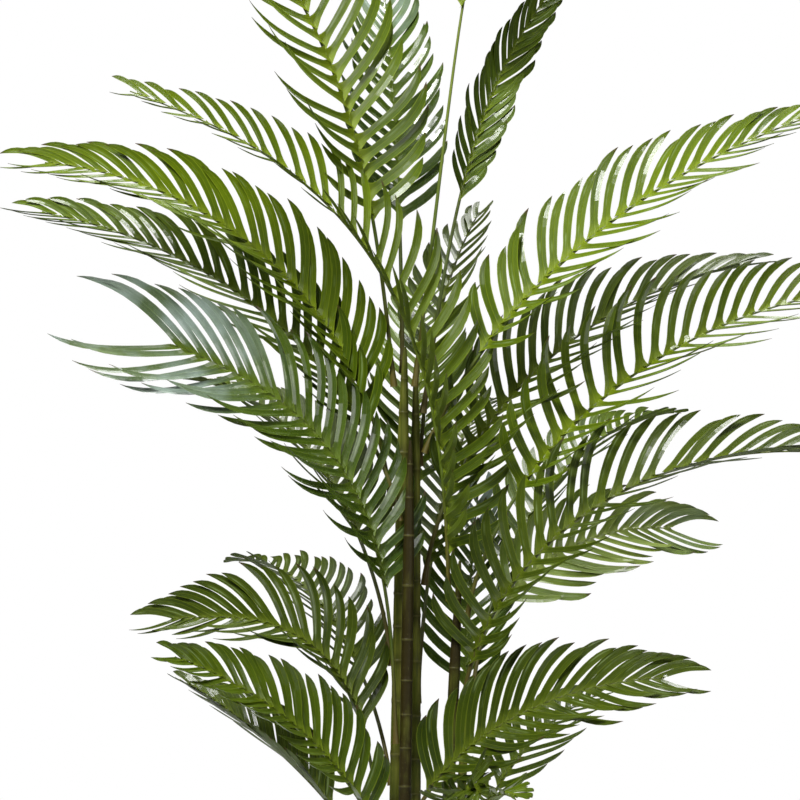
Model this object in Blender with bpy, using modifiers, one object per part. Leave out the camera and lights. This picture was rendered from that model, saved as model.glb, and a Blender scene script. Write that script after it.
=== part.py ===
"""An areca palm in a plain pot: five leaning canes, a root ball, and arching feather-shaped fronds.

Metres, +Z up. The origin is the middle of the pot's underside, so the floor is z = 0.
Headings are degrees round the plant, anticlockwise from +X as seen from above.
"""

import math
from typing import NamedTuple

import bmesh
import bpy
from mathutils import Matrix, Quaternion, Vector
from mathutils.bvhtree import BVHTree

# Driving dimensions, metres
GAP = 0.0003  # left between pieces that touch
POT_HEIGHT = 0.300
POT_RIM_RADIUS = 0.170
POT_BASE_RADIUS = 0.130
POT_WALL = 0.010
POT_FLOOR = 0.014
POT_BAND_HEIGHT = 0.034  # the thicker band under the rim
POT_BAND_PROUD = 0.005
POT_EDGE_RADIUS = 0.004
SOIL_DROP = 0.040  # from the rim down to the soil
SOIL_CROWN = 0.008  # the soil's rise towards the canes
CANE_DEPTH = 0.110  # how far each cane goes down into the root ball
CANE_RING_SPACING = 0.080
CANE_RING_SWELL = 0.0012
CANE_FIRST_RING = 0.030
CANE_POINT = 0.050  # the taper at a cane's top
STALK_WIDTH = 0.0070
STALK_DEPTH = 0.0056
SPINE_TIP_SHARE = 0.30  # the spine's thickness at its tip, over that at its foot
LEAFLET_WIDTH = 0.015
LEAFLET_THICKNESS = 0.0014
LEAFLET_ROOT = 0.0090
LEAFLET_LEAST_ANGLE = 28.0  # degrees between a leaflet and the spine, at the blade's tip
LEAFLET_CURVE = 22.0  # degrees that a leaflet curves towards the blade's tip
LEAF_CLEARANCE = 0.0006  # kept between a leaflet and whatever it would touch

# Facets
POT_SIDES = 40
CANE_SIDES = 8
EDGE_STEPS = 3
SPINE_STEPS = 48
STALK_RINGS = 5

SOIL_TOP = POT_HEIGHT - SOIL_DROP


class Cane(NamedTuple):
    """One cane."""

    foot: tuple  # x and y where it leaves the soil
    lean: tuple  # how far its top stands from over its foot
    height: float  # above the soil
    radius: float


class Frond(NamedTuple):
    """One frond. Its spine starts at the slope `rise` and ends at `fall`.

    `bend` says how soon it turns, and `settle` how early it has finished turning.
    """

    cane: str
    node: float  # height above the soil of the ring that it grows from
    heading: float
    stalk: float
    blade: float
    rise: float
    fall: float
    bend: float
    leaflet: float  # length of the longest leaflet
    roll: float  # turn of the whole blade about its spine
    lift: float  # angle of each row of leaflets above the blade's plane
    spread: float  # angle between the leaflets and the spine
    pairs: int
    tone: str
    settle: float = 1.0
    tip: float = 0.38  # length of the last leaflets over that of the longest
    turn: float = 0.0  # how much the roll has changed by the tip


CANES = {
    "a": Cane((-0.048, 0.000), (0.018, 0.000), 0.90, 0.0105),
    "b": Cane((-0.034, -0.042), (0.012, 0.010), 0.76, 0.0095),
    "c": Cane((-0.014, 0.035), (0.000, -0.010), 0.88, 0.0085),
    "d": Cane((0.024, -0.012), (0.028, 0.000), 0.58, 0.0095),
    "e": Cane((0.045, 0.045), (0.020, 0.020), 0.40, 0.0080),
}

# cane, node, heading, stalk, blade, rise, fall, bend,
# leaflet, roll, lift, spread, pairs, tone, settle, tip, turn
FRONDS = {
    "crown_left": Frond("a", 0.84, 195, 0.26, 0.68, 84, 25, 1.9,
        0.165, -70, 25, 66, 14, "bright", 1.0, 0.50),
    "crown_back": Frond("a", 0.86, 100, 0.24, 0.46, 86, 50, 1.5, 0.120, 0, 20, 60, 13, "blue"),
    "crown_tall": Frond("a", 0.84, 10, 0.58, 0.42, 83, 10, 6.0, 0.120, 40, 30, 62, 12, "bright"),
    "crown_right": Frond("c", 0.80, 35, 0.34, 0.50, 80, 30, 2.2, 0.085, 72, 30, 44, 13, "mid"),
    "front_left": Frond("d", 0.52, 205, 0.08, 0.90, 88, 17, 2.0,
        0.150, -52, 38, 74, 15, "bright", 2.0, 0.32, 8),
    "left_upper": Frond("a", 0.66, 184, 0.16, 0.63, 84, 4, 1.0,
        0.150, -62, 38, 52, 14, "bright", 1.0, 0.50, 10),
    "left_middle": Frond("b", 0.64, 165, 0.14, 0.64, 80, 10, 0.7,
        0.145, -57, 40, 54, 14, "mid", 1.0, 0.50, 20),
    "left_glossy": Frond("b", 0.31, 195, 0.24, 0.50, 88, 22, 2.4,
        0.140, -40, 22, 66, 14, "blue", 2.2, 1.40, -40),
    "left_low": Frond("a", 0.14, 192, 0.20, 0.36, 82, -2, 3.0, 0.135, -50, 35, 60, 12, "dark", 3.0, 0.50),
    "left_low_front": Frond("b", 0.10, 212, 0.12, 0.41, 78, 20, 0.7, 0.120, -60, 35, 60, 12, "mid"),
    "left_lowest": Frond("a", 0.08, 160, 0.16, 0.29, 72, 28, 0.5, 0.105, -20, 45, 50, 10, "dark"),
    "right_low": Frond("b", 0.20, 340, 0.05, 0.41, 66, 4, 0.7, 0.140, 62, 25, 56, 13, "dark", 1.0, 0.55),
    "right_light": Frond("d", 0.34, 32, 0.20, 0.34, 84, -4, 1.0,
        0.120, 62, 18, 58, 10, "pale", 1.3, 0.90),
    "right_large": Frond("d", 0.34, 350, 0.09, 0.76, 88, -16, 0.8,
        0.150, 84, 40, 64, 14, "dark", 1.0, 0.42, -86),
    "right_glossy": Frond("d", 0.48, 10, 0.22, 0.66, 84, 5, 0.72,
        0.150, 56, 40, 70, 13, "bright", 1.0, 0.60, -24),
    "right_middle": Frond("c", 0.54, 15, 0.14, 0.62, 84, 10, 0.8,
        0.140, 74, 38, 60, 13, "dark", 1.0, 0.50, -60),
    "right_upper": Frond("c", 0.74, 355, 0.18, 0.68, 68, 15, 0.8,
        0.145, 55, 22, 62, 14, "bright", 1.0, 0.22, -20),
    "back_short": Frond("c", 0.72, 60, 0.15, 0.30, 84, 40, 1.2, 0.100, 0, 20, 60, 10, "dark"),
    "back_low": Frond("e", 0.26, 82, 0.12, 0.36, 82, 40, 1.2, 0.120, 0, 20, 60, 10, "blue"),
    "back_lowest": Frond("e", 0.10, 45, 0.12, 0.30, 72, 10, 0.8, 0.100, 20, 20, 60, 10, "mid"),
    "rear_high": Frond("c", 0.50, 88, 0.20, 0.54, 84, 12, 1.0, 0.125, 0, 25, 60, 12, "mid"),
    "rear_left": Frond("a", 0.42, 130, 0.20, 0.50, 80, 5, 0.9, 0.125, 0, 30, 60, 12, "dark"),
    "rear_centre": Frond("c", 0.36, 75, 0.22, 0.52, 82, 5, 0.9, 0.120, 0, 30, 60, 12, "dark"),
    "rear_right": Frond("e", 0.36, 50, 0.20, 0.56, 80, 0, 0.9, 0.120, 0, 30, 60, 12, "mid"),
    "rear_low": Frond("a", 0.24, 120, 0.18, 0.46, 76, -5, 0.8, 0.120, 0, 30, 60, 11, "dark"),
    "front_right": Frond("d", 0.10, 278, 0.12, 0.26, 72, -5, 0.8, 0.095, 30, 30, 60, 11, "dark"),
    "front_low": Frond("d", 0.06, 285, 0.14, 0.30, 70, 0, 0.8, 0.100, 0, 30, 55, 10, "mid"),
}

LEAF_TONES = {
    "bright": (0.115, 0.235, 0.022),
    "mid": (0.075, 0.165, 0.022),
    "dark": (0.045, 0.105, 0.020),
    "blue": (0.050, 0.110, 0.050),
    "pale": (0.190, 0.300, 0.090),
}

# What a leaflet tries, in order, when it would touch something: degrees added to its lift, and
# the share of its length that is left
LEAFLET_TRIES = (
    (0, 1.0), (0, 0.85), (10, 1.0), (-10, 1.0), (20, 0.9), (-20, 0.9), (0, 0.7),
    (32, 0.8), (-32, 0.8), (12, 0.6), (-12, 0.6), (0, 0.45), (25, 0.4), (-25, 0.4), (0, 0.3),
)
SWING_TRIES = (0, 3, -3, 6, -6, 9, -9, 12, -12, 15, -15, 20, -20, 25, -25)


def remove_objects():
    """Empties the scene."""
    for thing in list(bpy.data.objects):
        bpy.data.objects.remove(thing)


def new_collection(name):
    collection = bpy.data.collections.new(name)
    bpy.context.scene.collection.children.link(collection)
    return collection


def plain_material(name, colour, roughness):
    """A Principled material of one colour."""
    material = bpy.data.materials.new(name)
    material.use_nodes = True
    shader = material.node_tree.nodes["Principled BSDF"]
    shader.inputs["Base Color"].default_value = (*colour, 1.0)
    shader.inputs["Roughness"].default_value = roughness
    shader.inputs["Metallic"].default_value = 0.0
    material.diffuse_color = (*colour, 1.0)
    return material


def add_object(name, mesh, collection, material):
    """Puts a mesh in the scene as an object with one material."""
    thing = bpy.data.objects.new(name, mesh)
    collection.objects.link(thing)
    mesh.materials.append(material)
    return thing


def turned(name, profile, sides, collection, material):
    """A turned solid: the profile in the XZ plane, swept round Z by a Screw modifier."""
    mesh = bpy.data.meshes.new(name)
    edges = [(i, i + 1) for i in range(len(profile) - 1)]
    mesh.from_pydata([(x, 0.0, z) for x, z in profile], edges, [])
    thing = add_object(name, mesh, collection, material)
    screw = thing.modifiers.new("turn", "SCREW")
    screw.axis = "Z"
    screw.angle = math.tau
    screw.steps = sides
    screw.render_steps = sides
    screw.use_merge_vertices = True
    screw.merge_threshold = 0.00001
    screw.use_smooth_shade = False
    return thing


def quarter_arc(centre, radius, start, turn):
    """Points along an arc of `turn` degrees that begins at the angle `start`."""
    points = []
    for step in range(EDGE_STEPS + 1):
        angle = math.radians(start + turn * step / EDGE_STEPS)
        points.append((centre[0] + radius * math.cos(angle), centre[1] + radius * math.sin(angle)))
    return points


def pot_outer_radius(height):
    """The pot's outside radius at a height, without its band."""
    return POT_BASE_RADIUS + (POT_RIM_RADIUS - POT_BAND_PROUD - POT_BASE_RADIUS) * height / POT_HEIGHT


def pot_inner_radius(height):
    return pot_outer_radius(height) - POT_WALL


def make_pot(collection, material):
    """A plain tapered pot with a band under its rim, open at the top."""
    edge = POT_EDGE_RADIUS
    band_foot = POT_HEIGHT - POT_BAND_HEIGHT
    profile = [(0.0, POT_FLOOR), (pot_inner_radius(POT_FLOOR), POT_FLOOR)]
    profile += quarter_arc((pot_inner_radius(POT_HEIGHT) + edge, POT_HEIGHT - edge), edge, 180, -90)
    profile += quarter_arc((POT_RIM_RADIUS - edge, POT_HEIGHT - edge), edge, 90, -90)
    profile += quarter_arc((POT_RIM_RADIUS - edge, band_foot + edge), edge, 0, -90)
    profile += [(pot_outer_radius(band_foot), band_foot)]
    profile += quarter_arc((pot_outer_radius(0.0) - edge, edge), edge, 0, -90)
    profile += [(0.0, 0.0)]
    return turned("pot", profile, POT_SIDES, collection, material)


def cane_point(cane, height):
    """A point on the cane's middle line, at a height above the soil."""
    share = height / cane.height
    lean = Vector((cane.lean[0], cane.lean[1], 0.0)) * share
    return Vector((cane.foot[0], cane.foot[1], SOIL_TOP + height)) + lean


def cane_placement(cane):
    """The turn and place that stand a shape made along +Z, from the cane's foot, on the cane's line."""
    foot = cane_point(cane, -CANE_DEPTH)
    direction = cane_point(cane, cane.height) - foot
    turn = Vector((0.0, 0.0, 1.0)).rotation_difference(direction)
    return Matrix.Translation(foot) @ turn.to_matrix().to_4x4()


def cane_length(cane):
    return (cane_point(cane, cane.height) - cane_point(cane, -CANE_DEPTH)).length


def make_cane(name, cane, collection, material):
    """A cane: a turned rod with a swelling at each leaf scar, pointed at its top."""
    length = cane_length(cane)
    profile = [(0.0, length), (cane.radius * 0.45, length - CANE_POINT * 0.3)]
    height = length - CANE_POINT
    profile.append((cane.radius, height))
    first_ring = CANE_DEPTH + CANE_FIRST_RING
    rings = int((height - first_ring) / CANE_RING_SPACING)
    for ring in range(rings, -1, -1):
        ring_height = first_ring + ring * CANE_RING_SPACING
        profile.append((cane.radius, ring_height + CANE_RING_SWELL * 2))
        profile.append((cane.radius + CANE_RING_SWELL, ring_height))
    profile += [(cane.radius, first_ring - CANE_RING_SWELL * 4), (cane.radius, 0.0), (0.0, 0.0)]
    thing = turned(name, profile, CANE_SIDES, collection, material)
    thing.matrix_world = cane_placement(cane)
    return thing


def make_cane_cutter(name, cane, collection):
    """The hole in the root ball that one cane stands in."""
    bm = bmesh.new()
    length = CANE_DEPTH * 2
    radius = cane.radius / math.cos(math.pi / CANE_SIDES) + GAP
    lower = Matrix.Translation((0.0, 0.0, length / 2 - GAP))
    bmesh.ops.create_cone(bm, cap_ends=True, segments=CANE_SIDES * 2, radius1=radius, radius2=radius,
                          depth=length, matrix=lower)
    mesh = bpy.data.meshes.new(name)
    bm.to_mesh(mesh)
    bm.free()
    cutter = bpy.data.objects.new(name, mesh)
    cutter.matrix_world = cane_placement(cane)
    cutter.hide_render = True
    cutter.display_type = "WIRE"
    collection.objects.link(cutter)
    return cutter


def make_soil(collection, cutters, material):
    """The root ball: it fills the pot up to the soil line and has a hole for each cane."""
    foot = POT_FLOOR + GAP
    profile = [(0.0, SOIL_TOP + SOIL_CROWN), (pot_inner_radius(SOIL_TOP) * 0.5, SOIL_TOP + SOIL_CROWN * 0.6)]
    profile += [(pot_inner_radius(SOIL_TOP) - GAP * 2, SOIL_TOP), (pot_inner_radius(foot) - GAP * 2, foot)]
    profile += [(0.0, foot)]
    soil = turned("soil", profile, POT_SIDES, collection, material)
    for name, cane in CANES.items():
        hole = soil.modifiers.new("hole_" + name, "BOOLEAN")
        hole.operation = "DIFFERENCE"
        hole.solver = "EXACT"
        hole.object = make_cane_cutter("cutter_" + name, cane, cutters)
    return soil


class Frame(NamedTuple):
    """A place on a spine: its point, and the directions along it, to its left, and off its upper face."""

    point: Vector
    along: Vector
    left: Vector
    up: Vector


def spine_frames(frond, swing):
    """Follows a frond's spine from its foot, beside the cane, to its tip."""
    cane = CANES[frond.cane]
    heading = math.radians(frond.heading + swing)
    outward = Vector((math.cos(heading), math.sin(heading), 0.0))
    reach = cane.radius + CANE_RING_SWELL + STALK_WIDTH / 2 + GAP * 2
    point = cane_point(cane, frond.node) + outward * reach
    step = (frond.stalk + frond.blade) / SPINE_STEPS
    frames = []
    for index in range(SPINE_STEPS + 1):
        share = index / SPINE_STEPS
        turned_by = 1.0 - (1.0 - share ** frond.bend) ** frond.settle
        slope = math.radians(frond.rise + (frond.fall - frond.rise) * turned_by)
        along = outward * math.cos(slope) + Vector((0.0, 0.0, math.sin(slope)))
        left = Vector((-math.sin(heading), math.cos(heading), 0.0))
        turn = Quaternion(along, math.radians(frond.roll + frond.turn * share))
        frames.append(Frame(point.copy(), along, turn @ left, turn @ along.cross(left)))
        point += along * step
    return frames


def frame_at(frames, share):
    """The frame at a share of the spine's length."""
    place = min(max(share, 0.0), 1.0) * SPINE_STEPS
    index = min(int(place), SPINE_STEPS - 1)
    part = place - index
    before, after = frames[index], frames[index + 1]
    blend = [a.lerp(b, part) for a, b in zip(before, after)]
    return Frame(blend[0], blend[1].normalized(), blend[2].normalized(), blend[3].normalized())


def spine_corners(frames, share, grow=0.0):
    """The four corners of the spine's section at a share of its length."""
    frame = frame_at(frames, share)
    size = 1.0 + (SPINE_TIP_SHARE - 1.0) * share
    side = frame.left * (STALK_WIDTH / 2 * size + grow)
    rise = frame.up * (STALK_DEPTH / 2 * size + grow)
    return [frame.point + offset for offset in (side - rise, side + rise, rise - side, -rise - side)]


def ring_shares(frond):
    """Where the spine has a section: along the stalk, then at both sides of each leaflet's root."""
    whole = frond.stalk + frond.blade
    start = frond.stalk / whole
    shares = [start * ring / STALK_RINGS for ring in range(STALK_RINGS)]
    half = LEAFLET_ROOT / 2 / whole
    for pair in range(frond.pairs):
        middle = start + (1.0 - start) * (pair + 0.4) / frond.pairs
        shares += [middle - half, middle + half]
    return shares + [1.0]


def tree_of(corner_rings):
    """A search tree of the tube that joins these sections."""
    points = [corner for ring in corner_rings for corner in ring]
    faces = []
    for ring in range(len(corner_rings) - 1):
        for side in range(4):
            a, b = ring * 4 + side, ring * 4 + (side + 1) % 4
            faces.append((a, b, b + 4, a + 4))
    return BVHTree.FromPolygons(points, faces)


class Obstacle(NamedTuple):
    """Something a leaflet or a spine must stay clear of."""

    low: Vector
    high: Vector
    tree: BVHTree


def obstacle(points, tree):
    low = Vector([min(p[axis] for p in points) for axis in range(3)])
    high = Vector([max(p[axis] for p in points) for axis in range(3)])
    return Obstacle(low, high, tree)


def touches(one, others):
    """Whether an obstacle meets any of the others."""
    for other in others:
        above = any(one.low[axis] > other.high[axis] for axis in range(3))
        below = any(one.high[axis] < other.low[axis] for axis in range(3))
        apart = above or below
        if not apart and one.tree.overlap(other.tree):
            return True
    return False


def solid_obstacle(thing):
    """The evaluated mesh of an object, in the world, as an obstacle."""
    depsgraph = bpy.context.evaluated_depsgraph_get()
    mesh = thing.evaluated_get(depsgraph).to_mesh()
    points = [thing.matrix_world @ vertex.co for vertex in mesh.vertices]
    tree = BVHTree.FromPolygons(points, [tuple(face.vertices) for face in mesh.polygons])
    return obstacle(points, tree)


def spine_obstacle(frond, frames, grow):
    """The spine as an obstacle, thicker by `grow` all round."""
    corners = [spine_corners(frames, share, grow) for share in ring_shares(frond)]
    return obstacle([corner for ring in corners for corner in ring], tree_of(corners))


def choose_spine(name, frond, others):
    """The frond's spine, swung round its cane by the least turn that keeps it clear of the others."""
    for swing in SWING_TRIES:
        frames = spine_frames(frond, swing)
        found = spine_obstacle(frond, frames, GAP / 2)
        if not touches(found, others):
            break
    if swing:
        print(f"{name} is swung {swing} degrees")
    return frames, found


def leaflet_length_share(frond, along):
    """A leaflet's length over the longest one's, at a share of the blade's length."""
    base = 0.70 + 0.30 * math.sin(math.pi / 2 * min(1.0, along / 0.28))
    return base * (1.0 - (1.0 - frond.tip) * max(0.0, (along - 0.35) / 0.65) ** 1.2)


def leaflet_angle(frond, along):
    """The angle between a leaflet and the spine: open at the blade's foot, swept forward at its tip."""
    swept = frond.spread * (0.45 + 0.55 * (1.0 - along) ** 0.6) + 8.0 * (0.5 - along)
    return math.radians(max(swept, LEAFLET_LEAST_ANGLE))


class Leaflet(NamedTuple):
    """One leaflet's shape: its middle, its tip, and the directions across it and off its face."""

    middle: Vector
    tip: Vector
    across: Vector
    face: Vector
    width: float


def shape_leaflet(frond, frames, pair, side, turn, share):
    """Works out one leaflet: it leaves the spine, bends forward, and its tip hangs a little."""
    whole = frond.stalk + frond.blade
    start = frond.stalk / whole
    along = (pair + 0.4) / frond.pairs
    frame = frame_at(frames, start + (1.0 - start) * along)
    lift = math.radians(frond.lift * (1.0 - 0.55 * along) + turn)
    out = frame.left * (side * math.cos(lift)) + frame.up * math.sin(lift)
    angle = leaflet_angle(frond, along)
    length = frond.leaflet * leaflet_length_share(frond, along) * share
    root = frame.point + frame.left * side * STALK_WIDTH / 2
    first = frame.along * math.cos(angle) + out * math.sin(angle)
    later = max(angle - math.radians(LEAFLET_CURVE), math.radians(LEAFLET_LEAST_ANGLE / 2))
    second = frame.along * math.cos(later) + out * math.sin(later) + Vector((0.0, 0.0, -0.35))
    middle = root + first * length * 0.5
    tip = middle + second.normalized() * length * 0.5
    across = (frame.along - first * frame.along.dot(first)).normalized()
    return Leaflet(middle, tip, across, across.cross(first) * side, LEAFLET_WIDTH * (1.0 - 0.55 * along))


def leaflet_corners(leaflet, grow):
    """The corners of the leaflet's middle section: near and far along the spine, under and upper face."""
    near, far = -leaflet.across * (leaflet.width / 2 + grow), leaflet.across * (leaflet.width / 2 + grow)
    half = leaflet.face * (LEAFLET_THICKNESS / 2 + grow)
    middle = leaflet.middle
    return {(0, 0): middle + near - half, (0, 1): middle + near + half,
            (1, 0): middle + far - half, (1, 1): middle + far + half}


def leaflet_obstacle(leaflet, root):
    """The leaflet with the clearance round it, as an obstacle; root holds its corners on the spine."""
    order = ((0, 0), (0, 1), (1, 1), (1, 0))
    middle = leaflet_corners(leaflet, LEAF_CLEARANCE)
    points = [root[key].lerp(middle[key], 0.03) for key in order] + [middle[key] for key in order]
    points.append(leaflet.tip + (leaflet.tip - leaflet.middle).normalized() * LEAF_CLEARANCE * 2)
    faces = [(i, (i + 1) % 4, (i + 1) % 4 + 4, i + 4) for i in range(4)]
    faces += [(i + 4, (i + 1) % 4 + 4, 8) for i in range(4)]
    return obstacle(points, BVHTree.FromPolygons(points, faces))


def root_corners(rings, pair, side):
    """The spine's vertices round one leaflet's root: near and far along the spine, under and upper face."""
    near, far = rings[STALK_RINGS + pair * 2], rings[STALK_RINGS + pair * 2 + 1]
    under, upper = (0, 1) if side > 0 else (3, 2)
    return {(0, 0): near[under], (0, 1): near[upper], (1, 0): far[under], (1, 1): far[upper]}


def grow_leaflet(bm, root, leaflet):
    """Extrudes a side face of the spine into a leaflet that ends in a point."""
    keys = {vertex: key for key, vertex in root.items()}
    foot = next(face for face in root[0, 0].link_faces if all(vertex in face.verts for vertex in keys))
    order = [keys[vertex] for vertex in foot.verts]
    end = bmesh.ops.extrude_discrete_faces(bm, faces=[foot])["faces"][0]
    corners = leaflet_corners(leaflet, 0.0)
    for vertex, key in zip(end.verts, order):
        vertex.co = corners[key]
    bmesh.ops.poke(bm, faces=[end])["verts"][0].co = leaflet.tip


def spine_mesh(frond, frames):
    """Extrudes the spine, section by section, and returns it with the corners of each section."""
    bm = bmesh.new()
    shares = ring_shares(frond)
    foot = [bm.verts.new(corner) for corner in spine_corners(frames, shares[0])]
    rings = [foot]
    face = bm.faces.new(foot)
    for share in shares[1:]:
        face = bmesh.ops.extrude_discrete_faces(bm, faces=[face])["faces"][0]
        for vertex, corner in zip(face.verts, spine_corners(frames, share)):
            vertex.co = corner
        rings.append(list(face.verts))
    bm.faces.new(foot[::-1])
    return bm, rings


def make_frond(name, frond, frames, around, leaflets, collection, material):
    """One frond: its spine, and leaflets that are turned or shortened where they would touch another."""
    bm, rings = spine_mesh(frond, frames)
    left_out = 0
    for pair in range(frond.pairs):
        for side in (1, -1):
            root = root_corners(rings, pair, side)
            for turn, share in LEAFLET_TRIES:
                leaflet = shape_leaflet(frond, frames, pair, side, turn, share)
                found = leaflet_obstacle(leaflet, {key: vertex.co for key, vertex in root.items()})
                if not touches(found, around) and not touches(found, leaflets):
                    grow_leaflet(bm, root, leaflet)
                    leaflets.append(found)
                    break
            else:
                left_out += 1
    mesh = bpy.data.meshes.new(name)
    bm.to_mesh(mesh)
    bm.free()
    print(f"{name}: {len(mesh.polygons)} faces, {left_out} leaflets left out")
    return add_object(name, mesh, collection, material)


def main():
    remove_objects()
    palm = new_collection("potted_palm")
    cutters = new_collection("cutters")
    pot = make_pot(palm, plain_material("pot_clay", (0.62, 0.60, 0.56), 0.6))
    soil = make_soil(palm, cutters, plain_material("potting_soil", (0.030, 0.020, 0.013), 0.95))
    bark = plain_material("cane_bark", (0.10, 0.13, 0.03), 0.5)
    canes = [make_cane("cane_" + name, cane, palm, bark) for name, cane in CANES.items()]
    bpy.context.view_layer.update()

    fixed = [solid_obstacle(thing) for thing in [pot, soil, *canes]]
    spines = {}
    for name, frond in FRONDS.items():
        around = fixed + [found for _, found in spines.values()]
        spines[name] = choose_spine(name, frond, around)

    tones = {tone: plain_material("leaf_" + tone, colour, 0.45) for tone, colour in LEAF_TONES.items()}
    leaflets = []
    for name, frond in FRONDS.items():
        frames, own = spines[name]
        around = fixed + [found for _, found in spines.values() if found is not own]
        around.append(spine_obstacle(frond, frames, -GAP))
        make_frond("frond_" + name, frond, frames, around, leaflets, palm, tones[frond.tone])


main()
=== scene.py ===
# %% [markdown]
# # A potted areca palm
# The palm is five leaning canes in one pot, each carrying feather-shaped leaves called fronds. A frond is
# a long arching spine with a row of narrow leaflets on each side. The canes, the soil and the pot are
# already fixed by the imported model, so this lesson only makes them look real. Every new piece is worked
# out in the same metres, with the origin under the middle of the pot and +Z up.

# %% Load the frame
import math
from typing import NamedTuple

import bmesh
import bpy
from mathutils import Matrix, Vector, noise


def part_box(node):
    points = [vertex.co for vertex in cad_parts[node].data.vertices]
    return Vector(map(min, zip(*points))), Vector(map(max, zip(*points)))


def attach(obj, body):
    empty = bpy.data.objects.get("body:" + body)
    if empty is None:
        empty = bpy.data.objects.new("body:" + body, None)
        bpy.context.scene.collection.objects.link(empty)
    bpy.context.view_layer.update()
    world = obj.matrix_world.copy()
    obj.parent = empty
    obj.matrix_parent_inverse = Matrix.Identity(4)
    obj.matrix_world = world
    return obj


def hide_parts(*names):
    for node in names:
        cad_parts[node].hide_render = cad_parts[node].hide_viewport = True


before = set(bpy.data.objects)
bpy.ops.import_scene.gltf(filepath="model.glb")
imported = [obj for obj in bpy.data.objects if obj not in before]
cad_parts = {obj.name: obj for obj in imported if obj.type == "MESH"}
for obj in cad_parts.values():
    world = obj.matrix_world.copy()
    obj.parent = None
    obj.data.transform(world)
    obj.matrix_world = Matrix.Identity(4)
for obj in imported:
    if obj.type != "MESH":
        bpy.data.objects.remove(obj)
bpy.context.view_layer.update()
pot_low, pot_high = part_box("pot")
soil_low, soil_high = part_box("soil")
print("CAD nodes:", len(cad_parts))

# %% [markdown]
# ## Camera
# A whole palm is a tall thing, so it is seen from well back with a long lens, level with the middle of
# its leaves. A long lens keeps the near and far fronds at almost the same scale, as a catalogue picture
# does.

# %% Camera
CAMERA_DISTANCE = 4.0
CAMERA_HEIGHT = 1.08
CAMERA_SIDE = -0.0375
LENS = 120.0
SENSOR = 36.0


def make_camera():
    """A level camera that looks along +Y."""
    data = bpy.data.cameras.new("camera")
    data.lens = LENS
    data.sensor_width = SENSOR
    camera = bpy.data.objects.new("camera", data)
    camera.location = (CAMERA_SIDE, -CAMERA_DISTANCE, CAMERA_HEIGHT)
    camera.rotation_euler = (math.radians(90.0), 0.0, 0.0)
    bpy.context.scene.collection.objects.link(camera)
    bpy.context.scene.camera = camera
    return camera


camera = make_camera()
print("camera at", tuple(round(v, 3) for v in camera.location))

# %% [markdown]
# ## Light and floor
# Leaves show their shape by soft gloss: a large lamp above and in front puts a pale streak along each
# channel, and the white surroundings fill the rest. The surroundings are bright where they are seen, and
# weaker as a light, so that the inside of the palm stays dark.

# %% Light and floor
SKY_LIGHT = 0.08
LAMPS = {
    # name: (place, size, watts)
    "lamp_key": ((-1.4, -2.2, 3.8), 1.1, 200.0),
    "lamp_top": ((0.5, 0.9, 4.0), 1.6, 130.0),
    "lamp_fill": ((2.2, -2.6, 1.6), 1.6, 30.0),
}
LAMP_TARGET = Vector((0.0, 0.0, 1.1))
FLOOR_RADIUS = 1.6


def make_sky():
    """White surroundings: full strength for the camera, weaker as a light."""
    world = bpy.data.worlds.new("studio")
    bpy.context.scene.world = world
    world.use_nodes = True
    tree = world.node_tree
    shown = tree.nodes["Background"]
    shown.inputs["Color"].default_value = (1.0, 1.0, 1.0, 1.0)
    shown.inputs["Strength"].default_value = 1.0
    lit = tree.nodes.new("ShaderNodeBackground")
    lit.inputs["Color"].default_value = (0.97, 0.99, 1.0, 1.0)
    lit.inputs["Strength"].default_value = SKY_LIGHT
    path = tree.nodes.new("ShaderNodeLightPath")
    mix = tree.nodes.new("ShaderNodeMixShader")
    tree.links.new(path.outputs["Is Camera Ray"], mix.inputs["Fac"])
    tree.links.new(lit.outputs["Background"], mix.inputs[1])
    tree.links.new(shown.outputs["Background"], mix.inputs[2])
    tree.links.new(mix.outputs["Shader"], tree.nodes["World Output"].inputs["Surface"])


def make_lamp(name, place, size, watts):
    """A square area lamp that faces the palm."""
    data = bpy.data.lights.new(name, "AREA")
    data.shape = "SQUARE"
    data.size = size
    data.energy = watts
    lamp = bpy.data.objects.new(name, data)
    lamp.location = place
    lamp.rotation_euler = (LAMP_TARGET - Vector(place)).to_track_quat("-Z", "Y").to_euler()
    bpy.context.scene.collection.objects.link(lamp)


def mesh_of(name, bm):
    """Turns a finished bmesh into a mesh."""
    mesh = bpy.data.meshes.new(name)
    bm.to_mesh(mesh)
    bm.free()
    return mesh


def new_piece(name, mesh):
    """An object for a mesh, in the scene."""
    piece = bpy.data.objects.new(name, mesh)
    bpy.context.scene.collection.objects.link(piece)
    return piece


def make_floor():
    """A round pale floor under the pot."""
    bm = bmesh.new()
    bmesh.ops.create_circle(bm, cap_ends=True, segments=96, radius=FLOOR_RADIUS)
    mesh = mesh_of("floor", bm)
    material = bpy.data.materials.new("floor_paint")
    material.use_nodes = True
    shader = material.node_tree.nodes["Principled BSDF"]
    shader.inputs["Base Color"].default_value = (0.82, 0.82, 0.81, 1.0)
    shader.inputs["Roughness"].default_value = 0.75
    mesh.materials.append(material)
    floor = new_piece("floor", mesh)


make_sky()
for lamp_name, (lamp_place, lamp_size, lamp_watts) in LAMPS.items():
    make_lamp(lamp_name, lamp_place, lamp_size, lamp_watts)
make_floor()
bpy.context.scene.view_settings.view_transform = "Standard"
print("lamps:", ", ".join(LAMPS))

# %% [markdown]
# ## Writing formulas with nodes
# Both the shape trees and the finishes below are mostly arithmetic. A small wrapper round a socket lets a
# formula be written with ordinary signs, and each sign adds one Math or Vector Math node. It works the
# same in a Geometry Nodes tree and in a material.

# %% A socket that can be calculated with
NODE_SPACING = (190.0, 170.0)
NODES_PER_ROW = 14


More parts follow.
